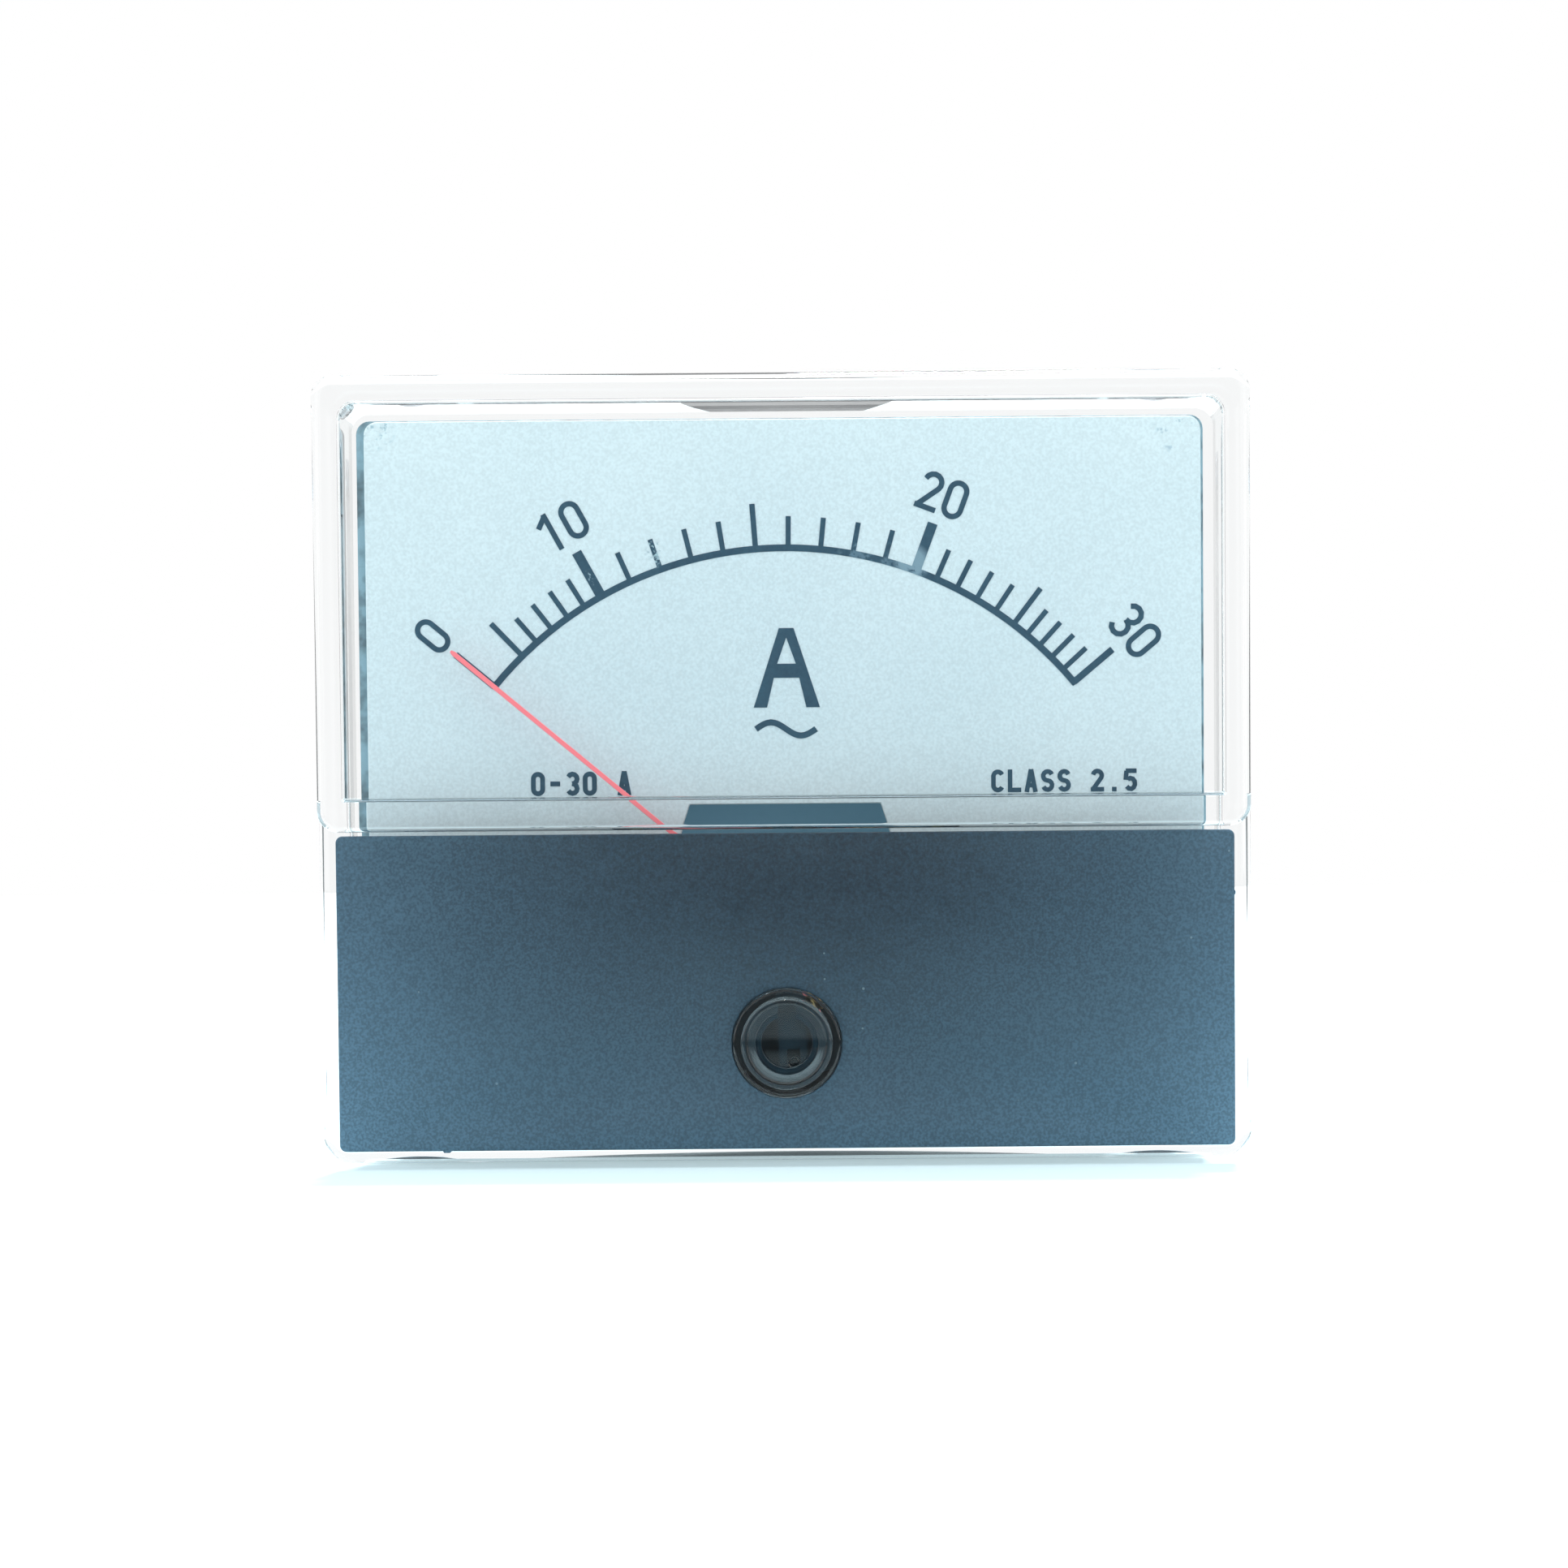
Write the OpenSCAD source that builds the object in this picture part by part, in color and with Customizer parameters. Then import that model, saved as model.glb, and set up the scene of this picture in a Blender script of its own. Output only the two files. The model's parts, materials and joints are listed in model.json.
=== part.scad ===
// Analog panel meter: moving-iron ammeter with a clear drop-front cover.
// Frame: origin on the barrel axis in the plane of the panel's front face,
// +Z up, the window looks towards -Y and the barrel runs to +Y. Millimetres.

/* [Front cover] */
// Width over the rim
cover_w = 70; // [60:0.5:90]
// Height over the rim
cover_h = 59; // [56:0.5:62]
// How far the cover's middle lies above the barrel's axis
cover_rise = 0.5; // [0:0.1:1]
// Window's front face, measured from the panel
cover_d = 14; // [13.2:0.1:18]
// How far the lower face lies behind the window's face
lower_drop = 6; // [5:0.1:6.8]
// Lean of each side, from the rim to the window's face
draft = 1; // [0.4:0.1:1.6]
// Thickness of the side walls at the rim
side_wall = 2.7; // [2.2:0.1:3.5]
// Thickness of the window and of the lower face
front_wall = 1.8; // [1.2:0.1:2]
// Thickness of the shelf under the window
shelf_t = 2.2; // [1.4:0.1:3]
// Height of the shelf's underside, from the barrel axis
shelf_z = -4; // [-6:0.1:-2]
// Radius of the cover's corners
cover_r = 2.5; // [2:0.1:5]
// Radius of the moulded front edges
edge_r = 0.8; // [0.3:0.1:1.2]
// Rounding under the window's lower edge
shelf_edge = 0.4; // [0.1:0.1:0.6]

/* [Mask plate] */
// Width of the black mask plate
mask_w = 66.4; // [58:0.1:68]
// Thickness of the mask plate
mask_t = 0.6; // [0.3:0.1:1]
// Gap between the mask plate and the shelf
mask_top_gap = 0.25; // [0.1:0.05:1]
// Clear strip under the mask plate
mask_bottom_strip = 1.4; // [1.4:0.1:4]

/* [Zero adjuster] */
// Distance of the adjuster below the pivot
adjuster_drop = 8.6; // [8:0.1:10]
// Radius of the adjuster's knob
knob_r = 3.4; // [3.1:0.1:4.5]
// Thickness of the collar wall around the knob
collar_t = 0.5; // [0.4:0.1:1]
// Height of the collar above the lower face
collar_h = 1.6; // [1.2:0.1:2.5]
// Radius of the adjuster's neck
neck_r = 2.4; // [2.3:0.05:2.7]
// Throw of the eccentric pin
pin_throw = 1.8; // [1.2:0.1:1.9]
// Radius of the eccentric pin
pin_r = 0.45; // [0.3:0.05:0.5]
// Angle at which the pin is set, from straight down
adjuster_turn = -18; // [-30:1:30]

/* [Case] */
// Gap between the base plate's sides and the cover's walls
base_side_gap = 0.75; // [0.5:0.05:1]
// Gap over the base plate
base_top_gap = 0.7; // [0.2:0.1:1]
// Gap under the base plate
base_low_gap = 0.3; // [0.2:0.1:0.5]
// Sideways seat of the base plate in the cover
base_shift = -0.2; // [-0.4:0.05:0.4]
// Thickness of the base plate
base_t = 2.4; // [2.2:0.1:2.6]
// Outer diameter of the barrel behind the panel
barrel_d = 51; // [50:0.5:51.5]
// Length of the barrel behind the panel
barrel_len = 30; // [29:0.5:45]
// Thickness of the barrel's wall
barrel_wall = 2; // [1.5:0.1:2.2]
// Thickness of the barrel's rear wall
rear_wall = 2.5; // [1.8:0.1:3.5]

/* [Dial] */
// Width of the dial plate
dial_w = 62.3; // [58:0.1:63]
// Height of the dial plate's top edge
dial_top = 26.5; // [24:0.1:26.7]
// Height of the dial plate's bottom edge
dial_bottom = -14; // [-15:0.5:-12.5]
// Thickness of the dial plate
dial_t = 0.6; // [0.4:0.1:0.8]
// Radius of the dial plate's corners
dial_r = 1; // [0.5:0.1:3]
// Half width of the dial's notch at its top
notch_half = 7.1; // [5:0.1:8]
// Height of the notch's top edge
notch_top = -2.1; // [-3:0.1:-1.5]
// Thickness of the printed ink
ink_t = 0.04; // [0.02:0.01:0.1]
// Inner radius of the scale's arc
arc_r = 27.9; // [26:0.1:29]
// Thickness of the scale's arc
arc_t = 0.5; // [0.2:0.05:1]
// Radius at the ends of the short marks
minor_end = 30.5; // [29.5:0.1:31]
// Radius at the ends of the middle marks
middle_end = 31.5; // [30:0.1:32]
// Radius at the ends of the long marks
major_end = 31.9; // [30:0.1:33]
// Radius of the numbers' centres
number_r = 34.1; // [33.8:0.1:35]
// Height of the numbers
number_h = 2.95; // [2:0.05:3.2]

/* [Movement] */
// Height of the pointer's pivot, from the barrel axis
pivot_z = -11.2; // [-11.6:0.1:-10.8]
// Length of the pointer from its pivot
pointer_len = 32.2; // [29:0.1:33]
// Half of the pointer's swing over the scale
half_swing = 50.2; // [45:0.1:52]
// Overtravel at each end, in degrees
overtravel = 2; // [1:0.5:3]
// Width of the pointer's tip
tip_w = 0.36; // [0.25:0.01:0.6]
// Radius of the spindle
spindle_r = 0.6; // [0.4:0.05:0.7]
// Diameter of the coil's wire
wire_d = 2.4; // [2:0.1:2.5]
// Turns in each of the coil's two layers
turns = 5; // [4:1:5]
// Outer radius of the damping box
damper_r = 11.4; // [10:0.1:11.6]
// Turns of the hairspring
hair_turns = 3.5; // [2.5:0.5:4]
// Radius where the hairspring is fixed to its lever
hair_r = 3.3; // [3:0.1:3.4]
// Distance of each balance weight from the pivot
weight_at = 5; // [4.9:0.05:5.3]
// Length of each balance weight
weight_len = 1.75; // [0.5:0.05:2]

/* [Fixings] */
// Spacing of the mounting studs across the meter
stud_dx = 56; // [54:0.5:58]
// Spacing of the mounting studs up the meter
stud_dz = 46; // [44:0.5:47]
// Radius of the mounting studs
stud_r = 1.5; // [1.2:0.1:2]
// Length of the mounting studs behind the panel face
stud_len = 12; // [9:0.5:20]
// Panel thickness that the nuts are set for
panel_t = 2.5; // [1:0.5:4]
// Radius of the terminal studs
terminal_r = 3; // [2.5:0.25:3]
// Distance of each terminal stud from the middle
terminal_x = 14; // [12.5:0.5:14.5]
// Height of the terminal studs
terminal_z = 9; // [6:0.5:9]
// Length of the terminal studs behind the barrel
terminal_len = 18; // [15:0.5:30]

/* [Hidden] */
$fn = 64;

// Clearances: sliding, between fixed pieces, and around threads
run_gap = 0.06;
seat_gap = 0.1;
thread_gap = 0.04;
over = 1; // how far a cut runs past a face
sliver = 0.01; // least step between faces
slice_t = 0.05; // thickness of a section in a hull
window_step = 0.03; // how far the window's sides lie inside the rim's

// Cover, from its driving sizes
rim_x = cover_w / 2;
rim_top = cover_rise + cover_h / 2;
rim_low = cover_rise - cover_h / 2;
lower_y = -(cover_d - lower_drop);
lower_in = lower_y + front_wall;
window_in = -cover_d + front_wall;
room_x = rim_x - side_wall;
room_top = rim_top - side_wall;
room_low = rim_low + side_wall;
room_r = 1.4;
window_floor = shelf_z + shelf_t;
screw_slot = 0.4;
slot_deep = 0.3;

// Case and dial
barrel_r = barrel_d / 2;
bore_r = barrel_r - barrel_wall;
barrel_end = barrel_len - rear_wall;
dial_y = -base_t - dial_t;
dial_screw_x = dial_w / 2 - 4.1;
dial_screw_z = dial_bottom + 4.5;
dial_hole_floor = 0.3;
small_head_t = 0.9;
wave_x = 0.1;
wave_z = 3.5;
wave_w = 4.5;
wave_h = 0.5;
wave_pen = 0.45;
dial_cut_half = 13;
dial_cut_top = -6;
notch_flare = 0.33;

// Screws that hold the cover: place, shank, head
cover_screw_x = 18;
cover_screw_z = room_low + 3.3;
cover_screw_r = 1.2;
cover_head_r = 2.2;
cover_head_t = 1.2;
cover_cross = 2.6;
boss_r = 2.4;

// Movement, stacked along Y from the front bridge to the rear jewel
strap_t = 0.8;
strap_half = 1.6;
strap_front = lower_in + 2.1;
strap_rear = strap_front + strap_t;
bush_r = 1.7;
bush_len = 0.85;
locknut_t = 0.55;
locknut_af = 3.8;
lever_t = 0.5;
lever_rear = strap_front - 0.15;
screw_r = 1;
jewel_rear = strap_rear + 0.4;
tip_gap = 0.05; // play of a spindle tip in its jewel
cup_depth = 0.4;
cup_r = 0.62;
tip_r = 0.05;
tip_len = 0.75;
spindle_front = jewel_rear - cup_depth + tip_gap;
hair_t = 0.12;
hair_w = 0.4;
hair_steps = 20;
hair_tab = 1.4;
hair_tab_t = 0.4;
hair_seat = hair_r + hair_t + sliver;
collet_r = 1.05;
hair_y = jewel_rear + 0.55; // front edge of the hairspring
arm_t = 0.3;
arm_half = 0.5;
bush_outer = 1.2;
pointer_hub = 1.6;
arm_y = hair_y + 1; // front face of the pointer's inner arm
pointer_gap = 1.2;
pointer_y = lower_in + pointer_gap; // front face of the pointer over the dial
pointer_foot = 0.6;
pointer_taper = 2.4;
tip_taper = 0.3;
pointer_bend = 5.2;
pointer_rise = 8.6;
lid_t = 0.4;
lid_y = arm_y + arm_t + 1.05;
box_y = lid_y + lid_t;
box_depth = 3.2;
box_wall = 0.7;
box_half = 62;
box_floor = 0.5;
box_hole = 2.2;
vane_t = 0.25;
vane_play = 0.5;
frame_y = box_y + box_depth;
frame_t = 1;
flange_t = 1;
bobbin_y = frame_y + frame_t;
core_r = 5.2;
core_in = 4.4;
layer_r = core_r + wire_d * 1.9;
flange_r = layer_r + 1.2;
rivet_at = 7.5;
rivet_r = 0.9;
bobbin_boss = 2.6;
coil_y = bobbin_y + flange_t;
coil_end = coil_y + turns * wire_d;
bobbin_end = coil_end + flange_t;
jewel_front = coil_end - 0.1;
spindle_rear = jewel_front + cup_depth - tip_gap;
iron_len = turns * wire_d - 2;
iron_y = coil_y + 1;
iron_t = 0.65;
iron_web = 0.4;
lead_z = pivot_z + layer_r + wire_d / 2 + 0.2;
vane_len = 7; // length of the moving iron
vane_r = core_in - 1.3;
iron_hub_r = 1.1;

// Front bridge, its feet and the stops
leg_x = 11;
foot_x = 15.2;
foot_screw_x = 13.4;
foot_screw_r = 0.8;
foot_head_r = 1.4;
foot_t = 0.8;
small_screw_r = 1;
small_head_r = 1.7;
tail_angle = 148;
tail_len = 7.4;
tail_w = 0.7;
weight_r = 0.9;
stop_at = 4;
stop_r = 0.4;
stop_gap = 0.05;
stop_lead = asin((tail_w / 2 + stop_r + stop_gap) / stop_at);
stop_angle = tail_angle - half_swing - overtravel - stop_lead;

// Frame posts in the barrel
post_x = 17.5;
post_z = -4;
post_r = 3;
post_screw_r = 1.3;
post_head_r = 2.3;
post_hole = 7;
ear = post_r + 0.2;

// Adjuster and lever
knob_z = pivot_z - adjuster_drop;
collar_r = knob_r + seat_gap + collar_t;
clip_y = lower_in + run_gap;
clip_t = 0.4;
clip_groove = 0.4;
clip_mouth = 1.4;
knob_proud = 0.2;
knob_lift = 0.15;
clip_r = neck_r + 0.8;
neck_end = clip_y + clip_t + 0.1;
pin_end = lever_rear + 0.25;
lever_turn = atan(pin_throw * sin(adjuster_turn) / (adjuster_drop + pin_throw * cos(adjuster_turn)));
fork_gap = 0.1;
fork_tine = 0.6;
fork_half = pin_r + fork_gap + fork_tine;
fork_z = -adjuster_drop - pin_throw;

// Fastener sizes
washer_t = 0.6;
washer_r = 3.5;
nut_t = 2.4;
nut_af = 5.5;
stud_head_r = 2.9;
stud_head_t = 1.2;
terminal_washer_t = 1.2;
terminal_washer_r = 6;
terminal_spring_r = 4.8;
terminal_spring_t = 1.5;
terminal_nut_t = 4.6;
terminal_af = 10;
terminal_head_t = 4;
outer_washer = barrel_len + terminal_washer_t + terminal_nut_t;
spring_washer = outer_washer + terminal_washer_t;

// ---- helpers ----
module slab(y0, y1) translate([0, y1, 0]) rotate([90, 0, 0]) linear_extrude(y1 - y0) children();
module rod(y0, y1, r) translate([0, y1, 0]) rotate([90, 0, 0]) cylinder(h = y1 - y0, r = r);
module cone(y0, y1, r0, r1) translate([0, y1, 0]) rotate([90, 0, 0])
    cylinder(h = y1 - y0, r1 = r1, r2 = r0);
module hex(y0, y1, af) translate([0, y1, 0]) rotate([90, 0, 0])
    cylinder(h = y1 - y0, r = af / sqrt(3), $fn = 6);
module at(x, z) translate([x, 0, z]) children();
module pair(x, z) for (s = [-1, 1]) at(s * x, z) children();
module corners(x, z) for (s = [-1, 1], t = [-1, 1]) at(s * x, t * z) children();
module at_pivot(turn = 0) at(0, pivot_z) rotate([0, turn, 0]) children();
module ring2d(r0, r1) difference() {
    circle(r1);
    circle(r0);
}

// A ring sector in the plane of the dial; angles run clockwise from straight up
module sector2d(r0, r1, mid, half) intersection() {
    ring2d(r0, r1);
    polygon(concat([[0, 0]], [for (i = [-2:2]) let(a = mid + half * i / 2)
        2 * r1 * [sin(a), cos(a)]]));
}

function rounded(w, h, r, steps = 6) = [for (q = [0:3], i = [0:steps])
    let(a = 90 * q + 90 * i / steps, sx = q == 0 || q == 3 ? 1 : -1, sz = q < 2 ? 1 : -1)
    [sx * (w / 2 - r) + r * cos(a), sz * (h / 2 - r) + r * sin(a)]];

module plate(y0, y1, x0, x1, z0, z1, r) slab(y0, y1) translate([(x0 + x1) / 2, (z0 + z1) / 2])
    polygon(rounded(x1 - x0, z1 - z0, r));

// Paths drawn with a pen: a mitred ribbon along points
function unit(v) = v / norm(v);
function mitre(p, i) = let(last = len(p) - 1, a = max(i, 1), b = min(i, last - 1),
    u = unit(p[a] - p[a - 1]), v = unit(p[b + 1] - p[b]), m = unit([-u.y - v.y, u.x + v.x]))
    m / (m * [-v.y, v.x]);
function ribbon(p, w) = concat([for (i = [0:len(p) - 1]) p[i] + mitre(p, i) * w / 2],
    [for (i = [len(p) - 1:-1:0]) p[i] - mitre(p, i) * w / 2]);
function bow(c, r, a0, a1, n = 8) = [for (i = [0:n]) let(a = a0 + (a1 - a0) * i / n)
    [c.x + r.x * cos(a), c.y + r.y * sin(a)]];

// ---- printed characters: strokes in a box w wide and h high, pen s ----
function strokes(c, w, h, s) = let(l = s / 2, r = w - s / 2, m = w / 2, t = h - s / 2, k = r - m,
    q = (h - s) / 4)
    c == "0" ? [concat(bow([m, t - k], [k, k], 85, 180), bow([m, l + k], [k, k], 180, 275)),
        concat(bow([m, l + k], [k, k], -95, 0), bow([m, t - k], [k, k], 0, 95))] :
    c == "1" ? [[[m + 0.1 * w, 0], [m + 0.1 * w, h]],
        [[0.1 * w, 0.72 * h], [m + 0.1 * w, h - 0.5 * s]]] :
    c == "2" ? [concat(bow([m, t - k], [k, k], 170, -32), [[l, l]]), [[0, l], [w, l]]] :
    c == "3" ? [bow([m, t - q], [k, q], 155, -95), bow([m, l + q], [k, q], 95, -155)] :
    c == "5" ? [[[w - 0.15 * s, t], [0.14 * w, t]], [[0.2 * w, t], [0.14 * w, 0.5 * h]],
        bow([m, l + 1.2 * q], [k, 1.2 * q], 130, -150)] :
    c == "A" ? [[[l, 0], [m, h]], [[r, 0], [m, h]], [[0.22 * w, 0.3 * h], [0.78 * w, 0.3 * h]]] :
    c == "C" ? [concat(bow([m, t - k], [k, k], 20, 180), bow([m, l + k], [k, k], 180, 340))] :
    c == "L" ? [[[l, 0], [l, h]], [[0, l], [w, l]]] :
    c == "S" ? [concat(bow([m, t - q], [k, q], 20, 262, 10), bow([m, l + q], [k, q], 82, -160, 10))] :
    c == "-" ? [[[0.15 * w, h / 2], [0.85 * w, h / 2]]] :
    c == "." ? [[[0.35 * w, l], [0.35 * w + s, l]]] : [];
module word(chars, w, h, s, gap) for (i = [0:len(chars) - 1])
    for (path = strokes(chars[i], w, h, s)) translate([i * (w + gap), 0]) polygon(ribbon(path, s));

// ---- cover ----
module section(y, inset, z0, z1, r) let(lean = draft * -y / cover_d + inset)
    plate(y, y + slice_t, -rim_x + lean, rim_x - lean, z0, z1 - lean, max(r - lean, 0.4));

module rounded_front(depth, rear, z0, r, step) hull() {
    section(rear - slice_t, step, z0, rim_top, r);
    for (t = [0:22.5:90])
        section(-depth + edge_r * (1 - sin(t)), step + edge_r * (1 - cos(t)),
            z0 < shelf_z ? z0 + edge_r * (1 - cos(t)) + draft * depth / cover_d
                : z0 + shelf_edge * (1 - cos(t)), rim_top, r);
}

// Room behind the window, with square lower corners
module window_room() intersection() {
    plate(window_in, over, -room_x, room_x, window_floor - 2 * room_r, room_top, room_r);
    translate([-room_x - over, window_in - over, window_floor])
        cube([2 * (room_x + over), cover_d, room_top - window_floor + over]);
}

module front_cover() color([0.86, 0.94, 0.96, 0.35]) difference() {
    union() {
        difference() {
            union() {
                rounded_front(-lower_y, 0, rim_low, cover_r, 0);
                rounded_front(cover_d, lower_in, shelf_z, cover_r, window_step);
            }
            plate(lower_in, over, -room_x, room_x, room_low, room_top, room_r);
            window_room();
        }
        at(0, knob_z) rod(lower_y - collar_h, lower_y + over, collar_r);
        pair(cover_screw_x, cover_screw_z) rod(lower_in - over, -base_t, boss_r);
    }
    at(0, knob_z) rod(lower_y - collar_h - over, lower_y, knob_r + seat_gap);
    at(0, knob_z) rod(lower_y - over, lower_in + over, neck_r + run_gap);
    pair(cover_screw_x, cover_screw_z) rod(lower_in, over, cover_screw_r + thread_gap);
}

module mask_plate() color([0.09, 0.11, 0.13]) difference() {
    plate(lower_y - mask_t, lower_y, -mask_w / 2, mask_w / 2, rim_low + mask_bottom_strip,
        shelf_z - mask_top_gap, 0.5);
    at(0, knob_z) rod(lower_y - mask_t - over, lower_y + over, collar_r + seat_gap);
}

module rear_case() color([0.07, 0.07, 0.08]) difference() {
    union() {
        plate(-base_t, 0, base_shift + base_side_gap - room_x, base_shift - base_side_gap + room_x,
            room_low + base_low_gap, room_top - base_top_gap, 1);
        rod(-base_t, barrel_len, barrel_r);
    }
    difference() {
        rod(-base_t - over, barrel_end, bore_r);
        pair(post_x, post_z) rod(bobbin_y, barrel_len, post_r);
    }
    pair(post_x, post_z) rod(bobbin_y - over, bobbin_y + post_hole, post_screw_r + thread_gap);
    pair(terminal_x, terminal_z) rod(barrel_end - over, barrel_len + over, terminal_r + seat_gap);
    corners(stud_dx / 2, stud_dz / 2) rod(-base_t - over, over, stud_r);
    corners(stud_dx / 2, stud_dz / 2) rod(-base_t - over, -base_t + stud_head_t, stud_head_r);
    pair(cover_screw_x, cover_screw_z) rod(-base_t - over, over, cover_screw_r + seat_gap);
    pair(cover_screw_x, cover_screw_z) rod(-cover_head_t - seat_gap, over, cover_head_r + seat_gap);
    pair(dial_screw_x, dial_screw_z) rod(-base_t - over, -dial_hole_floor, small_screw_r + thread_gap);
}

// Pan screw along Y, head towards -Y, with a slot
module pan_screw(y, r, head_r, head_t, length) difference() {
    union() {
        rod(y - head_t, y, head_r);
        rod(y - head_t / 2, y + length, r);
    }
    translate([-head_r - over, y - head_t - over, -screw_slot / 2])
        cube([2 * head_r + 2 * over, over + head_t / 2, screw_slot]);
}

module cover_screws() color([0.75, 0.76, 0.78]) pair(cover_screw_x, cover_screw_z) difference() {
    union() {
        rod(-cover_head_t, 0, cover_head_r);
        rod(lower_in + 0.4, -cover_head_t / 2, cover_screw_r);
    }
    for (turn = [0, 90]) rotate([0, turn, 0])
        translate([-cover_cross / 2, -cover_head_t * 0.6, -screw_slot / 2])
            cube([cover_cross, cover_head_t, screw_slot]);
}

// ---- dial ----
module dial_plate() color([0.93, 0.95, 0.96]) difference() {
    plate(dial_y, -base_t, -dial_w / 2, dial_w / 2, dial_bottom, dial_top, dial_r);
    slab(dial_y - over, -base_t + over) polygon([
        [-notch_half, notch_top], [notch_half, notch_top],
        [notch_half + (notch_top - dial_cut_top) * notch_flare, dial_cut_top],
        [dial_cut_half, dial_cut_top], [dial_cut_half, dial_bottom - over],
        [-dial_cut_half, dial_bottom - over], [-dial_cut_half, dial_cut_top],
        [-notch_half - (notch_top - dial_cut_top) * notch_flare, dial_cut_top]]);
    pair(dial_screw_x, dial_screw_z) rod(dial_y - over, over, small_screw_r + seat_gap);
}

module dial_screws() color([0.8, 0.8, 0.8]) pair(dial_screw_x, dial_screw_z)
    pan_screw(dial_y, small_screw_r, small_head_r, small_head_t, base_t + dial_t - dial_hole_floor - 0.2);

// Scale: crowded at both ends, as a moving-iron movement reads
function scale_angle(v) = half_swing
    * lookup(v, [[0, -1], [5, -0.8745], [10, -0.5747], [20, 0.4084], [25, 0.747], [30, 1]]);
module tick(v, end, w) rotate(-scale_angle(v)) translate([-w / 2, arc_r + arc_t / 2])
    square([w, end - arc_r - arc_t / 2]);
module scale_number(v, chars) let(w = number_h * 0.56, s = number_h * 0.135, gap = number_h * 0.11,
    wide = len(chars) * w + (len(chars) - 1) * gap)
    rotate(-scale_angle(v)) translate([-wide / 2, number_r - number_h / 2])
        word(chars, w, number_h, s, gap);

module scale_print() color([0.1, 0.12, 0.15]) slab(dial_y - ink_t, dial_y) {
    translate([0, pivot_z]) {
        sector2d(arc_r, arc_r + arc_t, 0, half_swing + 0.4);
        for (v = [5:30]) if (v % 5 != 0) tick(v, minor_end, 0.38);
        for (v = [5, 15, 25]) tick(v, middle_end, 0.4);
        for (v = [10, 20]) tick(v, major_end, 0.75);
        for (v = [0, 30]) tick(v, major_end, 0.5);
        scale_number(0, "0");
        scale_number(10, "10");
        scale_number(20, "20");
        scale_number(30, "30");
    }
    difference() {
        polygon([[-2.3, 5.1], [-1.3, 5.1], [-0.78, 7.3], [1.12, 7.3], [1.64, 5.1], [2.65, 5.1],
            [0.72, 11], [-0.37, 11]]);
        polygon([[-0.52, 8.35], [0.87, 8.35], [0.17, 10.3]]);
    }
    translate([wave_x, wave_z])
        polygon(ribbon([for (i = [-8:8]) [wave_w * i / 16, -wave_h * sin(22.5 * i)]], wave_pen));
    translate([-19, -1.35]) word("0-30 A", 1.05, 1.8, 0.36, 0.24);
    translate([15.4, -1.35]) word("CLASS 2.5", 1, 1.7, 0.34, 0.24);
}

// ---- zero adjuster and its lever ----
module zero_adjuster() color([0.85, 0.93, 0.95, 0.4]) at(0, knob_z) rotate([0, adjuster_turn, 0]) {
    rod(lower_y - collar_h - knob_proud, lower_y - knob_lift, knob_r);
    difference() {
        rod(lower_y - 2 * knob_lift, neck_end, neck_r);
        slab(clip_y, clip_y + clip_t + run_gap) ring2d(neck_r - clip_groove, neck_r + over);
    }
    at(0, -pin_throw) rod(neck_end - run_gap, pin_end, pin_r);
}

module adjuster_clip() color([0.2, 0.2, 0.22]) at(0, knob_z)
    slab(clip_y, clip_y + clip_t) difference() {
        ring2d(neck_r - clip_groove + run_gap, clip_r);
        translate([-clip_mouth / 2, 0]) square([clip_mouth, clip_r + over]);
    }

module zero_lever() color([0.12, 0.12, 0.13]) at_pivot(lever_turn) {
    slab(lever_rear - lever_t, lever_rear) difference() {
        union() {
            circle(bush_r + 1);
            polygon([[-1, -bush_r], [1, -bush_r], [fork_half, fork_z + 1.6], [fork_half, fork_z - 1],
                [-fork_half, fork_z - 1], [-fork_half, fork_z + 1.6]]);
            translate([-hair_tab / 2, 0]) square([hair_tab, hair_seat + hair_tab_t]);
        }
        circle(bush_r + run_gap);
        translate([-pin_r - fork_gap, fork_z - 1 - over]) square([2 * (pin_r + fork_gap), 2.2 + over]);
    }
    translate([-hair_tab / 2, lever_rear - lever_t, hair_seat])
        cube([hair_tab, hair_y + hair_w - lever_rear + lever_t, hair_tab_t]);
}

function hair_point(turn, grow) = let(r = collet_r + (hair_r - collet_r) * turn / hair_turns + grow,
    a = 360 * (turn - hair_turns)) r * [sin(a), cos(a)];
module hairspring() color([0.85, 0.68, 0.35]) at_pivot(lever_turn) slab(hair_y, hair_y + hair_w)
    polygon(concat([for (i = [0:hair_turns * hair_steps]) hair_point(i / hair_steps, 0)],
        [for (i = [hair_turns * hair_steps:-1:0]) hair_point(i / hair_steps, hair_t)]));

module spring_collet() color([0.8, 0.65, 0.35]) at_pivot() slab(hair_y - 0.1, hair_y + hair_w + 0.1)
    ring2d(spindle_r, collet_r - sliver);

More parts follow.
